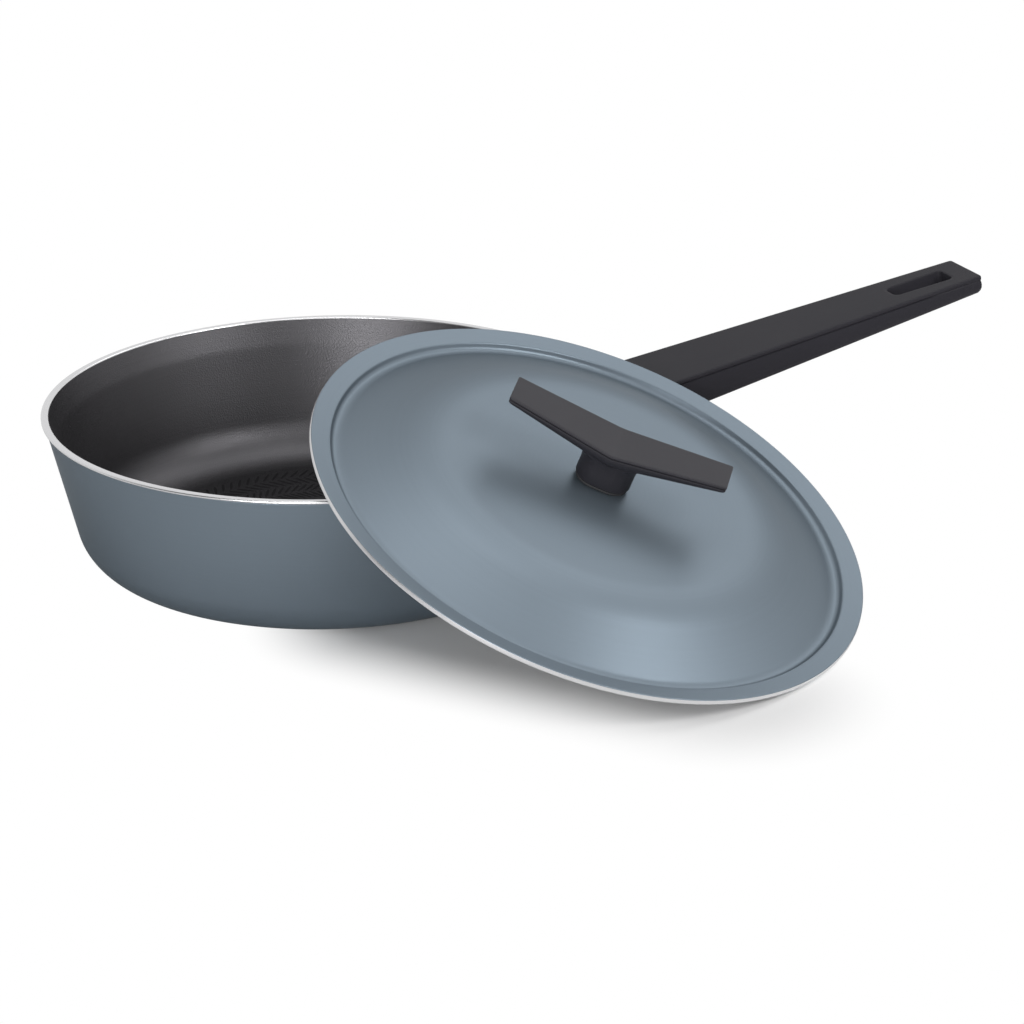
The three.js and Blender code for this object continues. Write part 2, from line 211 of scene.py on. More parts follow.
class SurfaceKit:
    """Shader node groups that the finishes share."""

    TONE_DETAIL = 3.0
    LINE_DETAIL = 2.0
    SPECK_DETAIL = 2.0
    SPECK_SCALE = 2.3
    SPECK_HEIGHT = 0.6

    def __init__(self) -> None:
        """Builds each group once."""
        self.tone = self._tone()
        self.grain = self._grain()
        self.spun = self._spun()

    @staticmethod
    def _start(name: str, inputs: Mapping[str, str], outputs: Mapping[str, str]) -> NodePad:
        """Makes an empty group with its sockets.

        Args:
            name: the group's name.
            inputs: input names and socket kinds.
            outputs: output names and socket kinds.

        Returns:
            A pad on the new tree.
        """
        pad = NodePad(bpy.data.node_groups.new(name, "ShaderNodeTree"))
        for label, kind in inputs.items():
            pad.socket(label, kind)
        for label, kind in outputs.items():
            pad.socket(label, kind, output=True)
        return pad

    def _tone(self) -> bpy.types.NodeTree:
        """Returns a group that drifts a colour slowly over the surface."""
        sockets = {"Vector": "Vector", "Colour": "Color", "Scale": "Float", "Amount": "Float"}
        pad = self._start("tone_drift", sockets, {"Colour": "Color", "Drift": "Float"})
        given = pad.add("NodeGroupInput").outputs
        inputs = {"Vector": given["Vector"], "Scale": given["Scale"], "Detail": self.TONE_DETAIL}
        noise = pad.add("ShaderNodeTexNoise", inputs)
        swing = pad.math("SUBTRACT", noise.outputs[0], 0.5)
        doubled = pad.math("MULTIPLY", given["Amount"], 2.0)
        factor = pad.math("MULTIPLY_ADD", swing, doubled, 1.0)
        tinted = pad.vector("SCALE", {"Vector": given["Colour"], "Scale": factor})
        pad.add("NodeGroupOutput", {"Colour": tinted, "Drift": swing})
        return pad.tree

    def _grain(self) -> bpy.types.NodeTree:
        """Returns a group with the height of a fine pebbled grain."""
        pad = self._start("pebbled_grain", {"Vector": "Vector", "Scale": "Float"}, {"Height": "Float"})
        given = pad.add("NodeGroupInput").outputs
        place = {"Vector": given["Vector"], "Scale": given["Scale"]}
        cells = pad.add("ShaderNodeTexVoronoi", place, feature="SMOOTH_F1")
        finer = pad.math("MULTIPLY", given["Scale"], self.SPECK_SCALE)
        inputs = {"Vector": given["Vector"], "Scale": finer, "Detail": self.SPECK_DETAIL}
        specks = pad.add("ShaderNodeTexNoise", inputs).outputs[0]
        height = pad.math("MULTIPLY_ADD", specks, self.SPECK_HEIGHT, cells.outputs["Distance"])
        pad.add("NodeGroupOutput", {"Height": height})
        return pad.tree

    def _spun(self) -> bpy.types.NodeTree:
        """Returns a group with the lines that turning leaves round an axis."""
        pad = self._start("spun_lines", {"Vector": "Vector", "Pitch": "Float"}, {"Lines": "Float"})
        given = pad.add("NodeGroupInput").outputs
        part = pad.add("ShaderNodeSeparateXYZ", {0: given["Vector"]}).outputs
        square = pad.math("MULTIPLY_ADD", part[0], part[0], pad.math("MULTIPLY", part[1], part[1]))
        reach = pad.math("ADD", pad.math("SQRT", square), part[2])
        along = pad.math("MULTIPLY", reach, given["Pitch"])
        inputs = {"W": along, "Scale": 1.0, "Detail": self.LINE_DETAIL}
        noise = pad.add("ShaderNodeTexNoise", inputs, noise_dimensions="1D")
        pad.add("NodeGroupOutput", {"Lines": noise.outputs[0]})
        return pad.tree


# Finishes


@dataclass(frozen=True)
class Finish:
    """One surface finish, as values for the shared groups and the shader."""

    name: str
    colour: tuple[float, float, float]
    roughness: float
    metallic: float = 0.0
    specular: float = 0.5
    edge_tint: float = 1.0
    tone_scale: float = 14.0
    tone_amount: float = 0.05
    roughness_swing: float = 0.06
    grain_scale: float = 1500.0
    grain_depth: float = 0.00001
    spun_pitch: float = 1400.0
    spun_share: float = 0.0
    spun_tone: float = 0.0

    def make(self, kit: SurfaceKit, place: Matrix) -> bpy.types.Material:
        """Builds the material.

        Args:
            kit: the shared groups.
            place: the frame whose Z axis the turning lines go round.

        Returns:
            The finished material.
        """
        material = bpy.data.materials.new(self.name)
        pad = emptied(material)
        spot = pad.add("ShaderNodeTexCoord").outputs["Object"]
        turn = tuple(place.to_euler("XYZ"))
        inputs = {"Vector": spot, "Location": tuple(place.translation), "Rotation": turn}
        local = pad.add("ShaderNodeMapping", inputs, vector_type="TEXTURE").outputs[0]

        inputs = {"Vector": local, "Pitch": self.spun_pitch}
        lines = pad.add("ShaderNodeGroup", inputs, node_tree=kit.spun)
        inputs = {"Vector": local, "Scale": self.grain_scale}
        grain = pad.add("ShaderNodeGroup", inputs, node_tree=kit.grain)
        inputs = {"Vector": local, "Scale": self.tone_scale, "Amount": self.tone_amount}
        inputs["Colour"] = (*self.colour, 1.0)
        tone = pad.add("ShaderNodeGroup", inputs, node_tree=kit.tone)

        streak = pad.math("MULTIPLY_ADD", lines.outputs[0], 2.0 * self.spun_tone, 1.0 - self.spun_tone)
        colour = pad.vector("SCALE", {"Vector": tone.outputs["Colour"], "Scale": streak})
        rough = pad.math("MULTIPLY_ADD", tone.outputs["Drift"], self.roughness_swing, self.roughness)
        lined = pad.math("MULTIPLY", lines.outputs[0], self.spun_share)
        height = pad.math("MULTIPLY_ADD", grain.outputs[0], 1.0 - self.spun_share, lined)
        inputs = {"Height": height, "Distance": self.grain_depth, "Strength": 1.0}
        bump = pad.add("ShaderNodeBump", inputs)
        shader = pad.add("ShaderNodeBsdfPrincipled", {
            "Base Color": colour,
            "Roughness": rough,
            "Metallic": self.metallic,
            "Specular IOR Level": self.specular,
            "Specular Tint": (*[self.edge_tint] * 3, 1.0),
            "Normal": bump.outputs[0],
        })
        pad.add("ShaderNodeOutputMaterial", {"Surface": shader.outputs[0]})
        return material


PAINT = Finish(
    "slate_paint", (0.15, 0.184, 0.216), 0.44, metallic=0.75, edge_tint=0.45, tone_amount=0.03,
    grain_scale=1900.0, grain_depth=0.000012, spun_pitch=900.0, spun_share=0.25, spun_tone=0.02,
)
RIM_METAL = Finish(
    "bare_rim", (0.62, 0.62, 0.63), 0.26, metallic=1.0, tone_amount=0.03, roughness_swing=0.05,
    grain_scale=1200.0, grain_depth=0.000004, spun_pitch=2600.0, spun_share=0.8, spun_tone=0.02,
)
PRESSED_METAL = Finish(
    "pressed_aluminium", (0.56, 0.56, 0.57), 0.36, metallic=1.0, tone_amount=0.05, grain_scale=900.0,
    grain_depth=0.00003, spun_pitch=1500.0, spun_share=0.8, spun_tone=0.06,
)
NON_STICK = Finish(
    "non_stick", (0.088, 0.0862, 0.0915), 0.38, metallic=0.75, specular=0.1, edge_tint=0.1,
    tone_amount=0.12, roughness_swing=0.1, grain_scale=1800.0, grain_depth=0.00009, spun_pitch=700.0,
    spun_share=0.1, spun_tone=0.05,
)
HATCH_COAT = Finish(
    "hatch_coat", (0.045, 0.044, 0.0465), 0.5, metallic=0.75, specular=0.1, edge_tint=0.1, tone_amount=0.1,
    grain_scale=900.0, grain_depth=0.00003,
)
PHENOLIC = Finish(
    "matte_phenolic", (0.0198, 0.019, 0.0235), 0.5, specular=0.2, tone_scale=26.0, tone_amount=0.09,
    roughness_swing=0.1, grain_scale=2100.0, grain_depth=0.00003,
)
HANDLE_PHENOLIC = replace(PHENOLIC, name="handle_phenolic", specular=0.08)
STEEL = Finish(
    "satin_steel", (0.5, 0.5, 0.51), 0.3, metallic=1.0, tone_amount=0.06, grain_scale=1500.0,
    grain_depth=0.00002, spun_pitch=2200.0, spun_share=0.7, spun_tone=0.05,
)
BRASS = Finish(
    "turned_brass", (0.52, 0.35, 0.12), 0.32, metallic=1.0, tone_amount=0.06, grain_scale=1500.0,
    grain_depth=0.00002, spun_pitch=2600.0, spun_share=0.8, spun_tone=0.06,
)
SILICONE = Finish(
    "silicone_pad", (0.02, 0.02, 0.022), 0.7, tone_amount=0.1, grain_scale=1800.0, grain_depth=0.00003,
)


# Shapes


def fillet(before: Flat, corner: Flat, after: Flat, reach: float, steps: int = 0) -> list[Flat]:
    """Rounds one corner of a line.

    Args:
        before: the point before the corner.
        corner: the corner.
        after: the point after it.
        reach: how far from the corner the round starts and ends.
        steps: how many pieces the round has, or 0 for as many as its turn needs.

    Returns:
        The points of the round, or the corner alone where there is nothing to round.
    """
    tip = Vector(corner)
    back, ahead = Vector(before) - tip, Vector(after) - tip
    reach = min(reach, 2.0 * SIDE_SHARE * min(back.length, ahead.length))
    if reach <= 0.0:
        return [corner]
    back.normalize()
    ahead.normalize()
    opening = back.angle(ahead)
    turn = math.pi - opening
    if turn < LEAST_TURN:
        return [corner]
    centre = tip + (back + ahead).normalized() * (reach / math.cos(opening / 2))
    start = tip + back * reach - centre
    end = tip + ahead * reach - centre
    way = math.copysign(1.0, start.x * end.y - start.y * end.x)
    piece_turn = ROUND_TURN if reach < LARGE_REACH else LARGE_ROUND_TURN
    count = steps or max(2, math.ceil(turn / piece_turn))
    spun = [start @ Matrix.Rotation(-way * turn * i / count, 2) for i in range(count + 1)]
    return [tuple(centre + arm) for arm in spun]


@dataclass(frozen=True)
class Bend:
    """A corner of a turned section, and the zone of the surface after it."""

    radius: float
    height: float
    reach: float = 0.0
    zone: Zone = Zone.OUTSIDE

    def moved(self, radius: float, height: float) -> "Bend":
        """Returns the same corner, measured from another place."""
        return replace(self, radius=self.radius + radius, height=self.height + height)


@dataclass
class Section:
    """A section line in radius and height, with a zone for each of its points."""

    points: list[Flat] = field(default_factory=list)
    zones: list[int] = field(default_factory=list)

    @classmethod
    def through(cls, bends: Sequence[Bend]) -> "Section":
        """Draws the line through rounded corners.

        Args:
            bends: the corners in order; a ring starts and ends on the same one.

        Returns:
            The section, with short support pieces at both ends of each long one.
        """
        section = cls()
        for i, bend in enumerate(bends):
            spot = (bend.radius, bend.height)
            rounded = [spot]
            if 0 < i < len(bends) - 1:
                last, after = bends[i - 1], bends[i + 1]
                reach = min(bend.reach, cls._room(bend, last), cls._room(bend, after))
                rounded = fillet((last.radius, last.height), spot, (after.radius, after.height), reach)
            for place in rounded:
                section._draw_to(place, bend.zone)
        return section

    @staticmethod
    def _room(bend: Bend, other: Bend) -> float:
        """Returns how far a bend may reach towards another, which keeps its own share of the line."""
        length = math.dist((bend.radius, bend.height), (other.radius, other.height))
        return max(SIDE_SHARE * length, 2.0 * SIDE_SHARE * length - other.reach)

    def _draw_to(self, place: Flat, zone: Zone) -> None:
        """Adds a point, with support points before it where the line to it is long."""
        if self.points:
            start, end = Vector(self.points[-1]), Vector(place)
            length = (end - start).length
            if length > LONG_ENOUGH:
                for share in (SUPPORT / length, 1.0 - SUPPORT / length):
                    self.points.append(tuple(start.lerp(end, share)))
                    self.zones.append(self.zones[-1])
        self.points.append(place)
        self.zones.append(int(zone))


def washer_section(inner: float, outer: float, low: float, high: float, edge: float = 0.2) -> Section:
    """Returns the section of a flat ring with slightly rounded edges.

    Args:
        inner: the hole's radius.
        outer: the ring's radius.
        low: the height of its lower face.
        high: the height of its upper face.
        edge: how far its edges are rounded.

    Returns:
        The section.
    """
    start = Bend(inner, 0.5 * (low + high))
    corners = [(inner, low), (outer, low), (outer, high), (inner, high)]
    return Section.through([start, *(Bend(radius, level, edge) for radius, level in corners), start])


def mirrored(near: Sequence[Flat]) -> list[Flat]:
    """Returns a near edge and then its mirror image, which close an outline together."""
    return [*near, *((x, -y) for x, y in reversed(near))]


def new_piece(name: str, mesh: bpy.types.Mesh) -> bpy.types.Object:
    """Returns a new object in the scene that shows a mesh."""
    piece = bpy.data.objects.new(name, mesh)
    bpy.context.scene.collection.objects.link(piece)
    return piece


def settle(piece: bpy.types.Object) -> bpy.types.Object:
    """Turns a piece's modifiers into a plain mesh whose faces point outwards.

    Args:
        piece: the object to settle.

    Returns:
        The same object.
    """
    live = piece.evaluated_get(bpy.context.evaluated_depsgraph_get())
    mesh = bpy.data.meshes.new_from_object(live)
    piece.modifiers.clear()
    piece.data = mesh
    names = [material.name if material else "" for material in mesh.materials]
    shape = bmesh.new()
    shape.from_mesh(mesh)
    kept = [name for name in names if name]
    for face in shape.faces:
        face.material_index = kept.index(names[face.material_index])
    mesh.materials.clear()
    for name in kept:
        mesh.materials.append(bpy.data.materials[name])
    if shape.calc_volume(signed=True) < 0.0:
        bmesh.ops.reverse_faces(shape, faces=shape.faces[:])
    shape.to_mesh(mesh)
    shape.free()
    return piece


def set_inputs(piece: bpy.types.Object, tree: bpy.types.NodeTree, values: Mapping[str, object]) -> None:
    """Adds a Geometry Nodes modifier and sets its inputs by identifier.

    Args:
        piece: the object that gets the modifier.
        tree: the tree.
        values: input identifiers and their values.
    """
    modifier = piece.modifiers.new(tree.name, "NODES")
    modifier.node_group = tree
    for identifier, value in values.items():
        modifier[identifier] = value


class TurnedTree:
    """Turns a section line about the Z axis with Geometry Nodes."""

    def __init__(self) -> None:
        """Builds the tree and keeps its inputs' identifiers."""
        pad = NodePad(bpy.data.node_groups.new("turned_section", "GeometryNodeTree"))
        self.tree = pad.tree
        pad.socket("Section", "Geometry")
        self.steps = pad.socket("Steps", "Int")
        self.finish = {zone: pad.socket(zone.label, "Material") for zone in Zone}
        pad.socket("Turned", "Geometry", output=True)
        given = pad.add("NodeGroupInput").outputs
        steps = given["Steps"]
        size = pad.add("GeometryNodeAttributeDomainSize", {0: given["Section"]})
        rows = size.outputs["Point Count"]
        inputs = {"Vertices X": pad.whole("ADD", steps, 1), "Vertices Y": rows}
        grid = pad.add("GeometryNodeMeshGrid", inputs)

        index = pad.add("GeometryNodeInputIndex").outputs[0]
        mark = pad.add("GeometryNodeInputNamedAttribute", {"Name": "zone"}, data_type="INT").outputs[0]
        inputs = {
            "Geometry": given["Section"],
            "Value": pad.add("GeometryNodeInputPosition").outputs[0],
            "Index": pad.whole("MODULO", index, rows),
        }
        drawn = pad.add("GeometryNodeSampleIndex", inputs, data_type="FLOAT_VECTOR")
        part = pad.add("ShaderNodeSeparateXYZ", {0: drawn.outputs[0]}).outputs
        column = pad.whole("DIVIDE", index, rows)
        angle = pad.math("MULTIPLY", pad.math("DIVIDE", column, steps), FULL_TURN)
        spot = pad.add("ShaderNodeCombineXYZ", {
            0: pad.math("MULTIPLY", part[0], pad.math("COSINE", angle)),
            1: pad.math("MULTIPLY", part[0], pad.math("SINE", angle)),
            2: part[2],
        })
        inputs = {"Geometry": grid.outputs["Mesh"], "Position": spot.outputs[0]}
        placed = pad.add("GeometryNodeSetPosition", inputs)

        inputs = {
            "Geometry": given["Section"],
            "Value": mark,
            "Index": pad.whole("MODULO", index, pad.whole("SUBTRACT", rows, 1)),
        }
        drawn_mark = pad.add("GeometryNodeSampleIndex", inputs, data_type="INT")
        inputs = {"Geometry": placed.outputs[0], "Name": "zone", "Value": drawn_mark.outputs[0]}
        marked = pad.add("GeometryNodeStoreNamedAttribute", inputs, data_type="INT", domain="FACE")
        inputs = {"Geometry": marked.outputs[0], "Distance": SAME_TURNED_POINT}
        merged = pad.add("GeometryNodeMergeByDistance", inputs)
        smooth = pad.add("GeometryNodeSetShadeSmooth", {"Geometry": merged.outputs[0]})
        shown = smooth.outputs[0]
        for zone in Zone:
            inputs = {2: mark, 3: int(zone)}
            chosen = pad.add("FunctionNodeCompare", inputs, data_type="INT", operation="EQUAL").outputs[0]
            inputs = {"Geometry": shown, "Selection": chosen, "Material": given[zone.label]}
            shown = pad.add("GeometryNodeSetMaterial", inputs).outputs[0]
        pad.add("NodeGroupOutput", {0: shown})

    def turn(
        self,
        name: str,
        section: Section,
        finishes: Mapping[Zone, bpy.types.Material],
        place: Matrix,
        steps: int = SMALL_STEPS,
    ) -> bpy.types.Object:
        """Makes a turned piece.

        Args:
            name: the piece's name.
            section: its section in millimetres.
            finishes: the material of each zone that the section has.
            place: the frame that the section is turned in.
            steps: how many flats go round it.

        Returns:
            The piece, as a plain mesh.
        """
        mesh = bpy.data.meshes.new(name)
        spots = [(radius * MM, 0.0, height * MM) for radius, height in section.points]
        mesh.from_pydata(spots, [(i, i + 1) for i in range(len(spots) - 1)], [])
        mesh.attributes.new("zone", "INT", "POINT").data.foreach_set("value", section.zones)
        piece = new_piece(name, mesh)
        values: dict[str, object] = {self.steps: steps}
        values.update({self.finish[zone]: material for zone, material in finishes.items()})
        set_inputs(piece, self.tree, values)
        settle(piece)
        piece.data.transform(place)
        piece.data.attributes.remove(piece.data.attributes["zone"])
        return piece


class HatchTree:
    """Lays rows of small leaning marks in a ring with Geometry Nodes."""

    MARK_SIDES = 10
    SIZES = ("Inner radius", "Row width", "Length", "Width", "Height", "Level", "Lean")

    def __init__(self) -> None:
        """Builds the tree and keeps its inputs' identifiers."""
        pad = NodePad(bpy.data.node_groups.new("hatch_ring", "GeometryNodeTree"))
        self.tree = pad.tree
        pad.socket("Base", "Geometry")
        kinds = {"Rows": "Int", "Marks": "Int", "Finish": "Material", **dict.fromkeys(self.SIZES, "Float")}
        self.inputs = {name: pad.socket(name, kind) for name, kind in kinds.items()}
        pad.socket("Hatch", "Geometry", output=True)
        given = pad.add("NodeGroupInput").outputs
        marks = given["Marks"]
        index = pad.add("GeometryNodeInputIndex").outputs[0]
        row = pad.whole("DIVIDE", index, marks)
        odd = pad.whole("MODULO", row, 2)
        column = pad.math("MULTIPLY_ADD", odd, 0.5, pad.whole("MODULO", index, marks))
        angle = pad.math("MULTIPLY", pad.math("DIVIDE", column, marks), FULL_TURN)
        reach = pad.math("MULTIPLY_ADD", pad.math("ADD", row, 0.5), given["Row width"], given["Inner radius"])
        spot = pad.add("ShaderNodeCombineXYZ", {
            0: pad.math("MULTIPLY", reach, pad.math("COSINE", angle)),
            1: pad.math("MULTIPLY", reach, pad.math("SINE", angle)),
            2: given["Level"],
        })
        count = pad.whole("MULTIPLY", given["Rows"], marks)
        points = pad.add("GeometryNodePoints", {"Count": count, "Position": spot.outputs[0]})
        way = pad.math("MULTIPLY_ADD", odd, -2.0, 1.0)
        heading = pad.math("MULTIPLY_ADD", way, given["Lean"], angle)
        euler = pad.add("ShaderNodeCombineXYZ", {2: heading})
        turn = pad.add("FunctionNodeEulerToRotation", {0: euler.outputs[0]})
        inputs = {"Vertices": self.MARK_SIDES, "Radius": 0.5, "Depth": 1.0}
        seed = pad.add("GeometryNodeMeshCylinder", inputs)
        scale = {0: given["Length"], 1: given["Width"], 2: given["Height"]}
        inputs = {
            "Points": points.outputs[0],
            "Instance": seed.outputs["Mesh"],
            "Rotation": turn.outputs[0],
            "Scale": pad.add("ShaderNodeCombineXYZ", scale).outputs[0],
        }
        laid = pad.add("GeometryNodeInstanceOnPoints", inputs)
        real = pad.add("GeometryNodeRealizeInstances", {"Geometry": laid.outputs[0]})
        inputs = {"Geometry": real.outputs[0], "Material": given["Finish"]}
        pad.add("NodeGroupOutput", {0: pad.add("GeometryNodeSetMaterial", inputs).outputs[0]})

    def lay(self, name: str, values: Mapping[str, object]) -> bpy.types.Object:
        """Makes a hatch.

        Args:
            name: the piece's name.
            values: the tree's inputs by name, in metres and radians.

        Returns:
            The piece, as a plain mesh.
        """
        piece = new_piece(name, bpy.data.meshes.new(name))
        set_inputs(piece, self.tree, {self.inputs[label]: value for label, value in values.items()})
        return settle(piece)


@dataclass(frozen=True)
class Ring:
    """One ring of a moulded piece's side.

    The ring is set in from the outline, and lies a drop below the top and then a share of the way
    from there to the bottom.
    """

    inset: float
    drop: float = 0.0
    share: float = 0.0
    end_inset: float | None = None

    @property
    def end(self) -> float:
        """How far the ring is set in at the ends of the piece."""
        return self.inset if self.end_inset is None else self.end_inset

    def level(self, top: float, bottom: float) -> float:
        """Returns the ring's height between a top and a bottom."""
        return (top - self.drop) * (1.0 - self.share) + bottom * self.share


class Moulding:
    """A mesh in the making, in millimetres."""

    def __init__(self) -> None:
        """Starts an empty mesh."""
        self.shape = bmesh.new()

    def wall(self, rings: Sequence[Sequence[Vector]]) -> list[list[bmesh.types.BMVert]]:
        """Joins closed rings of equal length into a wall.

        Args:
            rings: the rings' points, from one end to the other.

        Returns:
            The rings' vertices.
        """
        made = [[self.shape.verts.new(point) for point in ring] for ring in rings]
        for low, high in zip(made, made[1:]):
            for i in range(len(low)):
                self.shape.faces.new((low[i - 1], low[i], high[i], high[i - 1]))
        return made

    def fill(self, *loops: Sequence[bmesh.types.BMVert]) -> None:
        """Fills a flat face inside the first loop and outside the others."""
        edges = [self.shape.edges.get((loop[i - 1], loop[i])) for loop in loops for i in range(len(loop))]
        bmesh.ops.triangle_fill(self.shape, use_beauty=True, use_dissolve=False, edges=edges)

    def strips(self, loop: Sequence[bmesh.types.BMVert]) -> None:
        """Fills a mirrored loop with strips across it, which follow its bends."""
        half = len(loop) // 2
        near, far = loop[:half], loop[:half - 1:-1]
        for i in range(half - 1):
            self.shape.faces.new((near[i], near[i + 1], far[i + 1], far[i]))

    def finish(self, name: str, place: Matrix, material: bpy.types.Material) -> bpy.types.Object:
        """Puts the mesh in its place as a piece.

        Args:
            name: the piece's name.
            place: the frame it was drawn in.
            material: its finish.

        Returns:
            The piece.
        """
        bmesh.ops.recalc_face_normals(self.shape, faces=self.shape.faces[:])
        mesh = bpy.data.meshes.new(name)
        self.shape.to_mesh(mesh)
        self.shape.free()
        mesh.transform(place @ Matrix.Scale(MM, 4))
        mesh.materials.append(material)
        return new_piece(name, mesh)


def soften(piece: bpy.types.Object) -> bpy.types.Object:
    """Shades a piece smooth, apart from its sharp edges, and returns it."""
    piece.data.shade_smooth()
    piece.data.set_sharp_from_angle(angle=SHARP_ANGLE)
    return piece


def combine(piece: bpy.types.Object, other: bpy.types.Object, operation: str) -> bpy.types.Object:
    """Joins another piece to a piece, or cuts it out.

    Args:
        piece: the piece that is changed.
        other: the piece that is used up.
        operation: UNION or DIFFERENCE.

    Returns:
        The changed piece.
    """
    modifier = piece.modifiers.new("combine", "BOOLEAN")
    modifier.operation = operation
    modifier.solver = "EXACT"
    modifier.object = other
    settle(piece)
    bpy.data.objects.remove(other)
    return piece


def refined(node: str, name: str, width: float, material: bpy.types.Material) -> bpy.types.Object:
    """Copies a CAD node with small rounded edges.

    Args:
        node: the CAD node's name.
        name: the new piece's name.
        width: how wide the rounded edges are, in millimetres.
        material: the copy's finish.

    Returns:
        The new piece.
    """
    shape = bmesh.new()
    shape.from_mesh(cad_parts[node].data)
    bmesh.ops.remove_doubles(shape, verts=shape.verts[:], dist=SAME_POINT)
    bmesh.ops.dissolve_limit(shape, angle_limit=FLAT_ANGLE, verts=shape.verts[:], edges=shape.edges[:])
    mesh = bpy.data.meshes.new(name)
    shape.to_mesh(mesh)
    shape.free()
    mesh.materials.append(material)
    piece = new_piece(name, mesh)
    bevel = piece.modifiers.new("edges", "BEVEL")
    bevel.width = width * MM
    bevel.segments = BEVEL_STEPS
    bevel.limit_method = "ANGLE"
    bevel.angle_limit = BEVEL_ANGLE
    bevel.use_clamp_overlap = True
    return soften(settle(piece))


def dress(piece: bpy.types.Object, body: Body, slot: Slot, *nodes: str) -> None:
    """Tells the frame about a finished piece.

    Args:
        piece: the piece.
        body: the body that it rides on.
        slot: not used.
        nodes: the CAD nodes that it stands for.
    """
    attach(piece, body.value)
    if nodes:
        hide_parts(*nodes)
    log.info("%s: %d faces on %s", piece.name, len(piece.data.polygons), body.value)


@dataclass
class Workshop:
    """The trees and groups that every sub-assembly uses, and the shape of a screw's head."""

    kit: SurfaceKit = field(default_factory=SurfaceKit)
    lathe: TurnedTree = field(default_factory=TurnedTree)
    hatcher: HatchTree = field(default_factory=HatchTree)
    made: dict[str, bpy.types.Material] = field(default_factory=dict)
    face_share: float = 0.62
    dome_share: float = 0.45
    tip_slope: Flat = (0.5, 0.6)
    cross_half: float = 0.5
    cross_levels: Flat = (-1.0, 1.2)

    def finish(self, finish: Finish, place: Matrix, suffix: str = "") -> bpy.types.Material:
        """Returns a finish as a material in a frame, made once for each name."""
        name = finish.name + suffix
        if name not in self.made:
            self.made[name] = replace(finish, name=name).make(self.kit, place)
        return self.made[name]

    def screw(
        self, name: str, radius: float, tip: float, head: Flat, head_height: float, place: Matrix, suffix: str
    ) -> bpy.types.Object:
        """Makes a round-headed screw with a cross in its head.

        Args:
            name: the piece's name.
            radius: the shank's radius.
            tip: the height of the shank's end.
            head: the head's radius and the height of its outer face.
            head_height: how thick the head is.
            place: the frame that the screw stands in.
            suffix: what tells its material from the other screw's.

        Returns:
            The screw.
        """
        wide, low = head
        seat = low + head_height
        arm, half = self.face_share * wide, self.cross_half
        section = Section.through([
            Bend(0.0, low),
            Bend(arm, low, 0.5),
            Bend(wide, low + self.dome_share * head_height, 0.6),
            Bend(wide, seat, 0.2),
            Bend(radius, seat, 0.3),
            Bend(radius, tip - self.tip_slope[1], 0.2),
            Bend(radius - self.tip_slope[0], tip, 0.2),
            Bend(0.0, tip),
        ])
        material = self.finish(STEEL, place, suffix)
        piece = self.lathe.turn(name, section, {Zone.OUTSIDE: material}, place)
        cutter = Moulding()
        corners = [(half, half), (half, arm), (-half, arm), (-half, half), (-arm, half), (-arm, -half)]
        plan = corners + [(-x, -y) for x, y in corners]
        levels = [low + level for level in self.cross_levels]
        ends = cutter.wall([[Vector((x, y, level)) for x, y in plan] for level in levels])
        for end in ends:
            cutter.fill(end)
        return soften(combine(piece, cutter.finish("cross", place, material), "DIFFERENCE"))


# Sub-assemblies


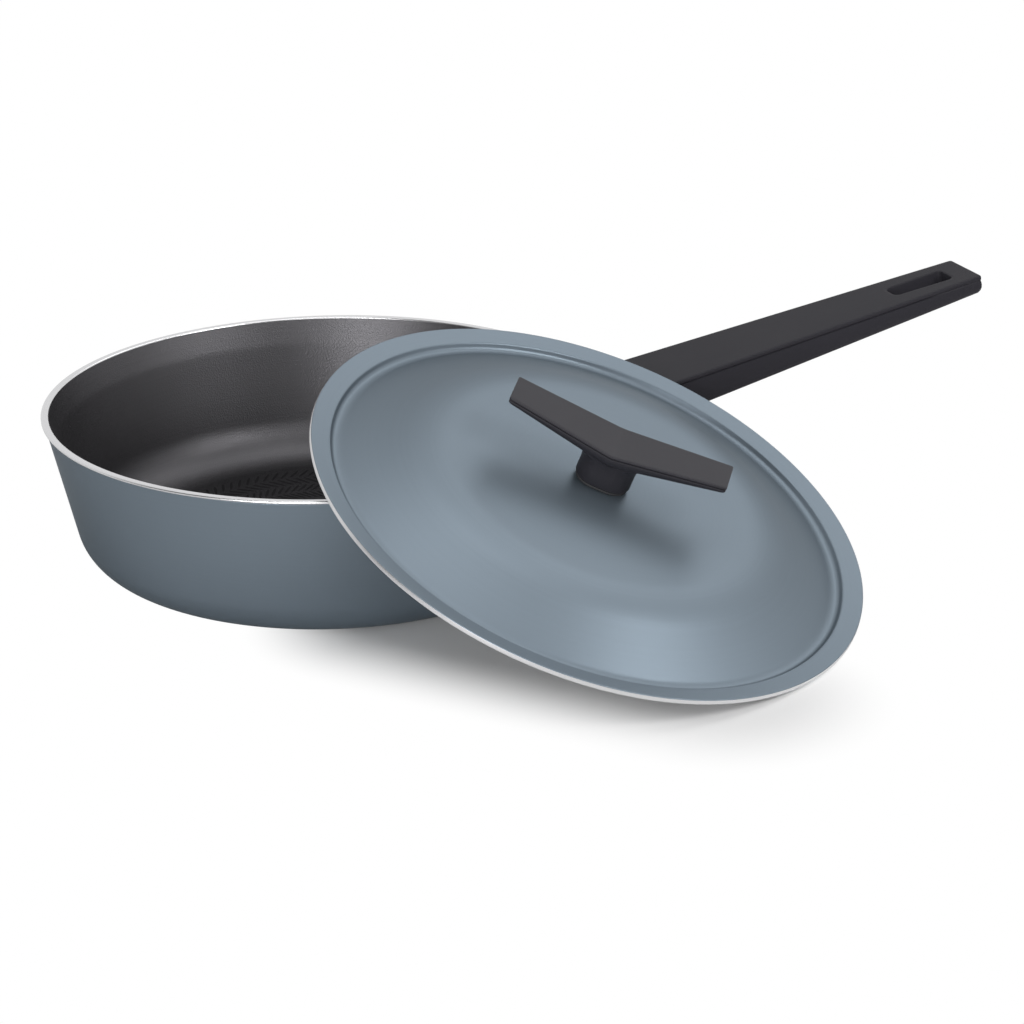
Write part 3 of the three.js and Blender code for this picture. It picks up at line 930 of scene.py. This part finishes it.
@dataclass
class Pan:
    """The pan's pressed body: painted outside, coated inside, bare on the rim.

    The corners of each line are measured from the place where the line is used.
    """

    rim_radius: float = 120.0
    height: float = 65.4
    base_radius: float = 104.0
    wall: float = 3.2
    base: float = 4.5
    corner_reach: float = 15.9
    inner_corner_reach: float = 17.3
    bead: float = 1.0
    seat_depth: float = 11.0
    seat_step: float = 0.1
    seat_reach: float = 1.2
    foot_rings: tuple[float, ...] = (26.0, 38.0, 50.0, 62.0, 74.0)
    foot_ring_line: tuple[Bend, ...] = (
        Bend(0.0, 0.0, 0.15, Zone.BASE),
        Bend(0.4, 0.5, 0.2, Zone.BASE),
        Bend(1.6, 0.5, 0.2, Zone.BASE),
        Bend(2.0, 0.0, 0.15, Zone.BASE),
    )
    paint_start: float = 80.6
    paint_start_line: tuple[Bend, ...] = (
        Bend(0.0, 0.0, 0.15, Zone.BASE),
        Bend(0.3, 0.35, 0.15),
        Bend(1.0, 0.35, 0.15),
        Bend(1.3, 0.0, 0.15),
    )
    paint_end: float = 1.75
    paint_end_line: tuple[Bend, ...] = (
        Bend(0.0, -1.75, 0.2),
        Bend(-0.35, -1.6, 0.1),
        Bend(-0.35, -1.35, 0.1, Zone.EDGE),
    )
    rim_line: tuple[Bend, ...] = (
        Bend(-0.1, -1.2, 0.4, Zone.EDGE),
        Bend(0.0, 0.0, 0.75, Zone.EDGE),
    )
    coat_end_line: tuple[Bend, ...] = (
        Bend(1.2, 0.0, 0.8, Zone.EDGE),
        Bend(0.9, -1.0, 0.4, Zone.INSIDE),
    )
    hatch_rows: int = 4
    hatch_marks: int = 110
    hatch_start: float = 45.5
    hatch_row: float = 9.0
    hatch_lean: float = 35.0
    mark_size: Spot = (9.6, 1.3, 0.24)
    mark_sink: float = 0.05

    @property
    def lean(self) -> float:
        """How far the wall goes out for each millimetre up."""
        return (self.rim_radius - self.bead - self.base_radius) / self.height

    def outer(self, height: float) -> float:
        """Returns the wall's outer radius at a height."""
        return self.base_radius + height * self.lean

    def inner(self, height: float) -> float:
        """Returns the wall's inner radius at a height."""
        return self.outer(height) - self.wall * math.hypot(1.0, self.lean)

    def section(self) -> Section:
        """Returns the body's section, from the middle of the base round to the middle of the floor."""
        top, floor = self.height, self.base
        seat = top - self.seat_depth
        bends = [Bend(0.0, 0.0, zone=Zone.BASE)]
        for radius in self.foot_rings:
            bends += [bend.moved(radius, 0.0) for bend in self.foot_ring_line]
        bends += [bend.moved(self.paint_start, 0.0) for bend in self.paint_start_line]
        bends.append(Bend(self.base_radius, 0.0, self.corner_reach))
        wall = self.outer(top - self.paint_end)
        for radius, line in (
            (wall, self.paint_end_line),
            (self.rim_radius, self.rim_line),
            (self.inner(top), self.coat_end_line),
        ):
            bends += [bend.moved(radius, top) for bend in line]
        bends += [
            Bend(self.inner(seat) + self.seat_step, seat, self.seat_reach, Zone.INSIDE),
            Bend(self.inner(floor), floor, self.inner_corner_reach, Zone.INSIDE),
            Bend(0.0, floor, zone=Zone.INSIDE),
        ]
        return Section.through(bends)

    def build(self, shop: Workshop) -> None:
        """Makes and dresses the body and the hatch on its floor."""
        place = Matrix.Identity(4)
        finishes = {
            Zone.OUTSIDE: shop.finish(PAINT, place, "_pan"),
            Zone.EDGE: shop.finish(RIM_METAL, place),
            Zone.INSIDE: shop.finish(NON_STICK, place),
            Zone.BASE: shop.finish(PRESSED_METAL, place, "_base"),
        }
        body = shop.lathe.turn("pan_body", self.section(), finishes, place, PAN_STEPS)
        dress(body, Body.PAN, Slot.PAINT, "pan_shell")
        length, width, height = (size * MM for size in self.mark_size)
        hatch = shop.hatcher.lay("floor_hatch", {
            "Rows": self.hatch_rows,
            "Marks": self.hatch_marks,
            "Inner radius": self.hatch_start * MM,
            "Row width": self.hatch_row * MM,
            "Length": length,
            "Width": width,
            "Height": height,
            "Level": (self.base - self.mark_sink) * MM,
            "Lean": math.radians(self.hatch_lean),
            "Finish": shop.finish(HATCH_COAT, place),
        })
        dress(soften(hatch), Body.PAN, Slot.PAINT)


@dataclass
class Handle:
    """The long flat handle with its guard, stud, washer and screw.

    Its frame starts under the rim's edge, with X along the top face.
    """

    start: Flat = (120.0, 52.7)
    slope: float = 10.0
    near: float = 3.0
    length: float = 191.8
    root_width: float = 43.2
    end_width: float = 27.4
    root_height: float = 17.6
    end_height: float = 8.8
    end_corner: float = 1.2
    least_corner: float = 0.7
    slot_length: float = 29.0
    slot_end_wall: float = 10.6
    slot_widths: Flat = (9.8, 12.2)
    slot_corner: float = 2.6
    slot_corner_shrink: float = 0.6
    screw_at: float = 23.0
    screw_radius: float = 2.5
    screw_tip: float = -3.7
    head_radius: float = 4.6
    head_height: float = 2.2
    head_low: float = -16.1
    washer: Flat = (-13.6, -12.8)
    washer_radius: float = 5.7
    bore_radius: float = 6.0
    bore_edge: Flat = (1.2, 0.4)
    bore_edge_depth: float = 0.9
    seat: float = -12.5
    metal_edge: float = 0.4
    stations: int = 14
    fade_share: float = 0.9
    side: tuple[Ring, ...] = (
        Ring(1.7),
        Ring(0.85),
        Ring(0.3, 0.12),
        Ring(0.05, 0.45),
        Ring(0.0, 0.9),
        Ring(0.0, 1.5),
        Ring(0.75, 1.75, end_inset=0.1),
        Ring(0.85, 2.1, end_inset=0.12),
        Ring(0.3, 2.45),
        Ring(0.12, 2.6, 0.06),
        Ring(0.0, 2.6, 0.3),
        Ring(0.15, 2.6, 0.52),
        Ring(0.6, 2.6, 0.72),
        Ring(1.4, 2.6, 0.88),
        Ring(2.5, 2.6, 0.97),
        Ring(3.6, 2.6, 1.0),
        Ring(4.4, 2.6, 1.0),
    )
    slot_side: tuple[Ring, ...] = (
        Ring(-1.5),
        Ring(-0.8),
        Ring(-0.25, 0.2),
        Ring(0.0, 0.8),
        Ring(0.0, 0.8, 0.86),
        Ring(-0.25, 0.8, 0.97),
        Ring(-0.8, 0.8, 1.0),
        Ring(-1.5, 0.8, 1.0),
    )

    @property
    def place(self) -> Matrix:
        """The handle's frame."""
        reach, height = self.start
        turn = Matrix.Rotation(math.radians(-self.slope), 4, "Y")
        return Matrix.Translation((reach * MM, 0.0, height * MM)) @ turn

    def half_width(self, x: float) -> float:
        """Returns half the handle's width at a place along it."""
        return 0.5 * (self.root_width + (self.end_width - self.root_width) * x / self.length)

    def bottom(self, x: float) -> float:
        """Returns the height of the underside at a place along the handle."""
        return -(self.root_height + (self.end_height - self.root_height) * x / self.length)

    def outline(self, ring: Ring) -> list[Vector]:
        """Returns one ring of the handle's side."""
        root, tip = self.near + ring.inset, self.length - ring.end
        root_half = self.half_width(self.near) - ring.inset
        tip_half = self.half_width(self.length) - ring.end
        corner = max(self.end_corner - CORNER_SHRINK * ring.inset, self.least_corner)
        rounded = fillet((root, -root_half), (tip, -tip_half), (tip, 0.0), corner, OUTLINE_STEPS)
        fade = self.fade_share * self.length
        places = [root + (fade - root) * i / self.stations for i in range(self.stations + 1)]
        edge = [(x, ring.inset - self.half_width(x)) for x in places]
        return self._ring([*edge, *rounded], ring)

    def slot_outline(self, ring: Ring) -> list[Vector]:
        """Returns one ring of the hanging slot's side."""
        end = self.length - self.slot_end_wall - ring.inset
        start = self.length - self.slot_end_wall - self.slot_length + ring.inset
        inner, outer = (width / 2 - ring.inset for width in self.slot_widths)
        reach = self.slot_corner - self.slot_corner_shrink * ring.inset
        first = fillet((start, 0.0), (start, -inner), (end, -outer), reach, OUTLINE_STEPS)
        last = fillet((start, -inner), (end, -outer), (end, 0.0), reach, OUTLINE_STEPS)
        return self._ring([*first, *last], ring)

    def _ring(self, near: Sequence[Flat], ring: Ring) -> list[Vector]:
        """Mirrors a near edge to the far side and gives each point the ring's height."""
        return [Vector((x, y, ring.level(0.0, self.bottom(x)))) for x, y in mirrored(near)]

    def bore_ring(self, radius: float, level: float | None) -> list[Vector]:
        """Returns a circle round the screw, at a level or on the underside."""
        turns = [FULL_TURN * i / SMALL_STEPS for i in range(SMALL_STEPS)]
        spots = [(self.screw_at + radius * math.cos(turn), radius * math.sin(turn)) for turn in turns]
        return [Vector((x, y, self.bottom(x) if level is None else level)) for x, y in spots]

    def grip(self, material: bpy.types.Material) -> bpy.types.Object:
        """Returns the moulded grip with its hanging slot and screw bore."""
        mould = Moulding()
        sides = mould.wall([self.outline(ring) for ring in self.side])
        slot = mould.wall([self.slot_outline(ring) for ring in self.slot_side])
        bore = mould.wall([
            *(self.bore_ring(self.bore_radius + grow, None) for grow in self.bore_edge),
            self.bore_ring(self.bore_radius, self.bottom(self.screw_at) + self.bore_edge_depth),
            self.bore_ring(self.bore_radius, self.seat),
        ])
        mould.fill(sides[0], slot[0])
        mould.fill(sides[-1], slot[-1], bore[0])
        mould.fill(bore[-1])
        return soften(mould.finish("handle", self.place, material))

    def build(self, shop: Workshop) -> None:
        """Makes and dresses the handle's pieces."""
        place = self.place
        axis = place @ Matrix.Translation((self.screw_at * MM, 0.0, 0.0))
        dress(self.grip(shop.finish(HANDLE_PHENOLIC, place)), Body.PAN, Slot.PHENOLIC, "handle_grip")
        steel = shop.finish(STEEL, axis, "_handle")
        guard = refined("flame_guard", "guard_sleeve", self.metal_edge, steel)
        dress(guard, Body.PAN, Slot.STEEL, "flame_guard")
        pressed = shop.finish(PRESSED_METAL, place, "_stud")
        stud = refined("handle_stud", "stud_bar", self.metal_edge, pressed)
        dress(stud, Body.PAN, Slot.ALUMINIUM, "handle_stud")
        low, high = self.washer
        section = washer_section(self.screw_radius + CLEARANCE, self.washer_radius, low, high)
        washer = shop.lathe.turn("handle_screw_washer", section, {Zone.OUTSIDE: steel}, axis)
        dress(washer, Body.PAN, Slot.STEEL, "handle_washer")
        head = (self.head_radius, self.head_low)
        made = shop.screw(
            "handle_fixing_screw", self.screw_radius, self.screw_tip, head, self.head_height, axis, "_handle"
        )
        dress(made, Body.PAN, Slot.STEEL, "handle_screw")


@dataclass
class Lid:
    """The pressed lid, leaning with its low edge on the floor."""

    centre: Spot = (70.0323, -116.4221, 49.2684)
    heading: float = -57.2
    lean: float = 23.8026
    radius: float = 116.5
    thickness: float = 2.0
    brim_width: float = 8.2
    brim_drop: float = 1.6
    groove_radius: float = 104.1
    groove_depth: float = 3.9
    groove_floor: float = 2.9
    root_reach: float = 0.45
    groove_reach: float = 1.3
    plateau_radius: float = 72.8
    plateau_height: float = 10.8
    shoulder_reach: float = 10.0
    hole: float = 2.3
    hole_reach: float = 0.1
    edge_round: float = 0.3

    @property
    def place(self) -> Matrix:
        """The lid's frame, with Z out of its top."""
        turn = Matrix.Rotation(math.radians(self.heading), 4, "Z")
        tilt = Matrix.Rotation(math.radians(self.lean), 4, "Y")
        return Matrix.Translation(Vector(self.centre) * MM) @ turn @ tilt

    def beneath(self, line: Sequence[Flat]) -> list[Flat]:
        """Returns a section line on the sheet's other face."""
        spots = [Vector(spot) for spot in line]
        ways = [(after - before).normalized() for before, after in zip(spots, spots[1:])]
        downs = [Vector((-way.y, way.x)) for way in ways]
        lower = []
        for spot, last, after in zip(spots, [downs[0], *downs], [*downs, downs[-1]]):
            depth = self.thickness / (1.0 + last.dot(after))
            lower.append(tuple(spot + (last + after) * depth))
        return lower

    def section(self) -> Section:
        """Returns the lid's section, from its edge over the top to the hole and back underneath."""
        groove = [self.groove_reach] * 2
        reaches = (self.edge_round, self.root_reach, *groove, self.shoulder_reach, self.hole_reach)
        line = [
            (self.radius, 0.0),
            (self.radius - self.brim_width, -self.brim_drop),
            (self.groove_radius + self.groove_floor, -self.groove_depth),
            (self.groove_radius, -self.groove_depth),
            (self.plateau_radius, self.plateau_height),
            (self.hole, self.plateau_height),
        ]
        under = self.beneath(line)
        top_bends = [Bend(*spot, reach) for spot, reach in zip(line, reaches)]
        under_bends = [Bend(*spot, reach, Zone.INSIDE) for spot, reach in zip(under, reaches)]
        edge_end = replace(under_bends[0], zone=Zone.EDGE)
        middle = tuple(Vector(line[0]).lerp(Vector(under[0]), 0.5))
        start = Bend(*middle, 0.0, Zone.EDGE)
        return Section.through([start, *top_bends, *reversed(under_bends[1:]), edge_end, start])

    def build(self, shop: Workshop) -> None:
        """Makes and dresses the lid's dish."""
        finishes = {
            Zone.OUTSIDE: shop.finish(PAINT, self.place, "_lid"),
            Zone.EDGE: shop.finish(RIM_METAL, self.place, "_lid"),
            Zone.INSIDE: shop.finish(PRESSED_METAL, self.place, "_lid"),
        }
        dish = shop.lathe.turn("lid_dish", self.section(), finishes, self.place, PAN_STEPS)
        dress(dish, Body.LID, Slot.PAINT, "lid_shell")


@dataclass
class Knob:
    """The winged knob on its oval stem, with its pad, insert, washer and screw."""

    lid: Lid
    turn: float = 23.9
    half_length: float = 45.9
    middle_width: float = 23.8
    end_width: float = 17.6
    top: float = 30.4
    end_rise: float = 5.4
    middle_thickness: float = 7.0
    end_thickness: float = 4.0
    crease: float = 1.0
    end_corner: float = 0.7
    least_corner: float = 0.5
    stem: Flat = (23.0, 17.0)
    stem_low: float = 12.4
    insert: Flat = (12.4, 22.9)
    insert_radius: float = 4.0
    insert_edge: float = 0.4
    pad_edge: float = 0.2
    screw_radius: float = 2.0
    screw_tip: float = 19.9
    head_radius: float = 4.2
    head_height: float = 2.2
    head_low: float = 5.2
    washer: Flat = (7.7, 8.5)
    washer_radius: float = 5.3
    side: tuple[Ring, ...] = (
        Ring(1.3),
        Ring(0.6),
        Ring(0.2, 0.1),
        Ring(0.0, 0.4),
        Ring(0.0, 0.95),
        Ring(0.5, 1.1),
        Ring(0.55, 1.35),
        Ring(0.15, 1.55),
        Ring(0.05, 1.6, 0.08),
        Ring(0.1, 1.6, 0.28),
        Ring(0.45, 1.6, 0.5),
        Ring(1.2, 1.6, 0.72),
        Ring(2.5, 1.6, 0.88),
        Ring(4.2, 1.6, 0.97),
        Ring(6.0, 1.6, 1.0),
    )
    stations: tuple[float, ...] = (0.0, 0.025, 0.05, 0.09, 0.16, 0.27, 0.42, 0.6, 0.8)
    stem_foot: tuple[tuple[Flat, float], ...] = (
        ((-1.5, -1.5), 0.0),
        ((-0.7, -0.7), 0.0),
        ((-0.2, -0.2), 0.2),
        ((0.0, 0.0), 0.7),
    )
    stem_neck: tuple[tuple[Flat, float], ...] = (
        ((0.0, 0.0), 6.2),
        ((0.25, 0.05), 4.2),
        ((0.8, 0.15), 2.5),
        ((1.8, 0.3), 1.2),
        ((3.4, 0.45), 0.35),
        ((5.0, 0.6), -0.1),
        ((5.4, 0.7), -1.8),
    )

    @property
    def place(self) -> Matrix:
        """The knob's frame on the lid."""
        return self.lid.place @ Matrix.Rotation(math.radians(self.turn), 4, "Z")

    def rise(self, x: float) -> float:
        """Returns how far along the wing's slope a place is, from 0 in the middle to 1 at an end."""
        return (math.hypot(x, self.crease) - self.crease) / self.half_length

    def top_at(self, x: float) -> float:
        """Returns the height of the top face."""
        return self.top + self.end_rise * self.rise(x)

    def bottom_at(self, x: float) -> float:
        """Returns the height of the underside."""
        thin = self.middle_thickness + (self.end_thickness - self.middle_thickness) * self.rise(x)
        return self.top_at(x) - thin

    def outline(self, ring: Ring) -> list[Vector]:
        """Returns one ring of the wings' side."""
        end = self.half_length - ring.inset
        middle_half = 0.5 * self.middle_width - ring.inset
        end_half = 0.5 * self.end_width - ring.inset
        reach = max(self.end_corner - CORNER_SHRINK * ring.inset, self.least_corner)
        rounded = fillet((0.0, -middle_half), (end, -end_half), (end, 0.0), reach, OUTLINE_STEPS)
        start, end_point = Vector((0.0, -middle_half)), Vector(rounded[0])
        wing = [tuple(start.lerp(end_point, share)) for share in self.stations]
        wing += rounded
        near = [(-x, y) for x, y in reversed(wing[1:])] + wing
        return [Vector((x, y, ring.level(self.top_at(x), self.bottom_at(x)))) for x, y in mirrored(near)]

    def stem_ring(self, grow: Flat, level: Callable[[float], float]) -> list[Vector]:
        """Returns one ring of the stem.

        Args:
            grow: how far the ring stands out along and across the stem.
            level: the ring's height at a place along the stem.

        Returns:
            The ring's points.
        """
        length, width = self.stem
        half, across = 0.5 * length + grow[0], 0.5 * width + grow[1]
        straight = half - across
        steps = SMALL_STEPS // 2
        turns = [math.pi * i / steps - math.pi / 2 for i in range(steps + 1)]
        right = [(straight + across * math.cos(turn), across * math.sin(turn)) for turn in turns]
        both = right + [(-x, -y) for x, y in right]
        return [Vector((x, y, level(x))) for x, y in both]

    def grip(self, material: bpy.types.Material) -> bpy.types.Object:
        """Returns the moulded wings with their stem."""
        wings = Moulding()
        sides = wings.wall([self.outline(ring) for ring in self.side])
        wings.strips(sides[0])
        wings.strips(sides[-1])
        piece = wings.finish("knob", self.place, material)
        stem = Moulding()
        rings = [
            self.stem_ring(grow, lambda x, up=up: self.stem_low + up) for grow, up in self.stem_foot
        ]
        rings += [
            self.stem_ring(grow, lambda x, down=down: self.bottom_at(x) - down)
            for grow, down in self.stem_neck
        ]
        ends = stem.wall(rings)
        stem.shape.faces.new(ends[0])
        stem.shape.faces.new(ends[-1])
        return soften(combine(piece, stem.finish("knob_stem", self.place, material), "UNION"))

    def build(self, shop: Workshop) -> None:
        """Makes and dresses the knob's pieces."""
        place = self.place
        dress(self.grip(shop.finish(PHENOLIC, place)), Body.LID, Slot.PHENOLIC, "lid_knob")
        pad = refined("knob_gasket", "stem_pad", self.pad_edge, shop.finish(SILICONE, place))
        dress(pad, Body.LID, Slot.SILICONE, "knob_gasket")
        hole = self.screw_radius + CLEARANCE
        section = washer_section(hole, self.insert_radius, *self.insert, edge=self.insert_edge)
        insert = shop.lathe.turn("stem_insert", section, {Zone.OUTSIDE: shop.finish(BRASS, place)}, place)
        dress(insert, Body.LID, Slot.BRASS, "knob_insert")
        steel = shop.finish(STEEL, place, "_knob")
        section = washer_section(hole, self.washer_radius, *self.washer)
        washer = shop.lathe.turn("knob_screw_washer", section, {Zone.OUTSIDE: steel}, place)
        dress(washer, Body.LID, Slot.STEEL, "knob_washer")
        head = (self.head_radius, self.head_low)
        made = shop.screw(
            "knob_fixing_screw", self.screw_radius, self.screw_tip, head, self.head_height, place, "_knob"
        )
        dress(made, Body.LID, Slot.STEEL, "knob_screw")


# Studio


@dataclass(frozen=True)
class Lamp:
    """A soft square lamp that faces the pan."""

    name: str
    spot: Spot
    size: float
    watts: float


@dataclass
class Studio:
    """The white floor, the soft lamps and the camera."""

    floor_size: float = 12.0
    floor_level: float = -0.0002
    floor_colour: float = 0.86
    far_floor: Flat = (0.2, 0.7)
    # Painted shadow: the darker floor colour that camera rays see near the lid's edge, on top of the real
    # shadow there
    shadow_colour: float = 0.66
    shadow_start: Spot = (-0.003, -0.092, 0.0)
    shadow_end: Spot = (0.085, -0.21, 0.0)
    shadow_reach: Flat = (0.012, 0.066)
    ambient: float = 0.18
    front_glow: float = 0.15
    front_turn: Flat = (-0.35, 0.25)
    camera_spot: Spot = (-0.3845, -1.1327, 0.4769)
    camera_yaw: float = 22.457
    camera_pitch: float = -21.194
    camera_roll: float = -0.481
    camera_lens: float = 105.15
    camera_sensor: float = 36.0
    lamp_aim: Spot = (0.05, -0.05, 0.04)
    lamps: tuple[Lamp, ...] = (
        Lamp("right_front", (0.72, -0.96, 0.84), 0.5, 9.2),
        Lamp("front", (-0.347, -1.011, 0.977), 0.6, 3.0),
        Lamp("left_front", (-0.86, -1.04, 0.331), 0.5, 12.5),
        Lamp("overhead", (0.12, -0.08, 1.435), 0.8, 4.2),
        Lamp("right_back", (0.9, 0.34, 1.06), 0.7, 2.3),
        Lamp("right", (1.191, -0.776, 0.402), 0.6, 0.9),
    )

    def build(self) -> None:
        """Makes the whole studio."""
        bpy.context.scene.view_settings.view_transform = "Standard"
        self._floor()
        self._world()
        for lamp in self.lamps:
            self._lamp(lamp)
        self._camera()

    @staticmethod
    def _ramp(pad: NodePad, value: bpy.types.NodeSocket, ends: Flat) -> bpy.types.NodeSocket:
        """Returns a soft ramp from 0 to 1 as a value goes from one end to the other."""
        inputs = {"Value": value, "From Min": ends[0], "From Max": ends[1]}
        return pad.add("ShaderNodeMapRange", inputs, interpolation_type="SMOOTHSTEP").outputs[0]

    def _from_strip(self, pad: NodePad, spot: bpy.types.NodeSocket) -> bpy.types.NodeSocket:
        """Returns how far a place on the floor is from the line under the lid's edge."""
        start = Vector(self.shadow_start)
        line = Vector(self.shadow_end) - start
        arm = pad.vector("SUBTRACT", {0: spot, 1: tuple(start)})
        share = pad.vector("DOT_PRODUCT", {0: arm, 1: tuple(line / line.length_squared)})
        kept = pad.math("MINIMUM", pad.math("MAXIMUM", share, 0.0), 1.0)
        nearest = pad.vector("SCALE", {0: tuple(line), "Scale": kept})
        return pad.vector("DISTANCE", {0: arm, 1: nearest})

    @staticmethod
    def _lookers(pad: NodePad) -> tuple[bpy.types.NodeSocket, bpy.types.NodeSocket]:
        """Returns whether the camera looks, and whether a shiny or clear surface does."""
        rays = pad.add("ShaderNodeLightPath").outputs
        shiny = pad.math("MAXIMUM", rays["Is Glossy Ray"], rays["Is Transmission Ray"])
        return rays["Is Camera Ray"], shiny

    def _floor(self) -> None:
        """Makes a white floor that keeps the real shadow under the lid and deepens it with a painted shadow,
        because camera rays see a darker floor colour near the lid's edge.
        """
        half = self.floor_size / 2
        mesh = bpy.data.meshes.new("studio_floor")
        plan = [(-half, -half), (half, -half), (half, half), (-half, half)]
        mesh.from_pydata([(x, y, self.floor_level) for x, y in plan], [], [(0, 1, 2, 3)])
        floor = new_piece("studio_floor", mesh)
        material = bpy.data.materials.new("white_floor")
        pad = emptied(material)
        away = self._from_strip(pad, pad.add("ShaderNodeTexCoord").outputs["Object"])
        camera, shiny = self._lookers(pad)
        seen = pad.math("MULTIPLY", self._ramp(pad, away, self.shadow_reach), camera)
        reflected = pad.math("MULTIPLY", self._ramp(pad, away, self.far_floor), shiny)
        # Painted shadow: camera rays see the floor in a darker colour, which deepens the real shadow near the
        # lid's edge
        painted_shadow_step = self.shadow_colour - self.floor_colour
        tone = pad.math("MULTIPLY_ADD", camera, painted_shadow_step, self.floor_colour)
        plain = pad.add("ShaderNodeBsdfDiffuse", {"Color": tone})
        bright = pad.add("ShaderNodeEmission", {"Strength": 1.0})
        inputs = {0: pad.math("MAXIMUM", seen, reflected), 1: plain.outputs[0], 2: bright.outputs[0]}
        mixed = pad.add("ShaderNodeMixShader", inputs)
        pad.add("ShaderNodeOutputMaterial", {"Surface": mixed.outputs[0]})
        mesh.materials.append(material)

    def _world(self) -> None:
        """Makes a white surround that lights the scene softly."""
        world = bpy.data.worlds.new("studio_white")
        bpy.context.scene.world = world
        pad = emptied(world)
        yaw = math.radians(self.camera_yaw)
        way = pad.add("ShaderNodeTexCoord").outputs["Generated"]
        behind = pad.vector("DOT_PRODUCT", {0: way, 1: (math.sin(yaw), math.cos(yaw), 0.0)})
        back = self._ramp(pad, behind, self.front_turn)
        reflected = pad.math("MULTIPLY_ADD", back, 1.0 - self.front_glow, self.front_glow)
        camera, shiny = self._lookers(pad)
        soft, glow, plain = (
            pad.add("ShaderNodeBackground", {"Color": WHITE, "Strength": strength}).outputs[0]
            for strength in (self.ambient, reflected, 1.0)
        )
        inside = pad.add("ShaderNodeMixShader", {0: shiny, 1: soft, 2: glow})
        mixed = pad.add("ShaderNodeMixShader", {0: camera, 1: inside.outputs[0], 2: plain})
        pad.add("ShaderNodeOutputWorld", {"Surface": mixed.outputs[0]})

    def _lamp(self, lamp: Lamp) -> None:
        """Hangs one lamp."""
        data = bpy.data.lights.new(lamp.name, "AREA")
        data.energy = lamp.watts
        data.size = lamp.size
        hung = bpy.data.objects.new(lamp.name, data)
        hung.location = lamp.spot
        hung.visible_camera = False
        aim = Vector(self.lamp_aim) - Vector(lamp.spot)
        hung.rotation_euler = aim.to_track_quat("-Z", "Y").to_euler()
        bpy.context.scene.collection.objects.link(hung)

    def _camera(self) -> None:
        """Sets up the camera at the photograph's viewing angle."""
        data = bpy.data.cameras.new("studio_camera")
        data.sensor_fit = "HORIZONTAL"
        data.sensor_width = self.camera_sensor
        data.lens = self.camera_lens
        camera = bpy.data.objects.new("studio_camera", data)
        yaw, pitch, roll = (math.radians(a) for a in (self.camera_yaw, self.camera_pitch, self.camera_roll))
        ahead = Vector((math.sin(yaw) * math.cos(pitch), math.cos(yaw) * math.cos(pitch), math.sin(pitch)))
        level = Vector((math.cos(yaw), -math.sin(yaw), 0.0))
        right = level * math.cos(roll) + level.cross(ahead) * math.sin(roll)
        axes = Matrix((right, right.cross(ahead), -ahead)).transposed()
        camera.rotation_euler = axes.to_euler()
        camera.location = self.camera_spot
        bpy.context.scene.collection.objects.link(camera)
        bpy.context.scene.camera = camera


def main() -> None:
    """Builds the studio and the frying pan."""
    logging.basicConfig(level=logging.INFO, format="%(name)s %(message)s")
    shop = Workshop()
    Studio().build()
    Pan().build(shop)
    Handle().build(shop)
    lid = Lid()
    lid.build(shop)
    Knob(lid).build(shop)


if __name__ == "__main__":
    main()
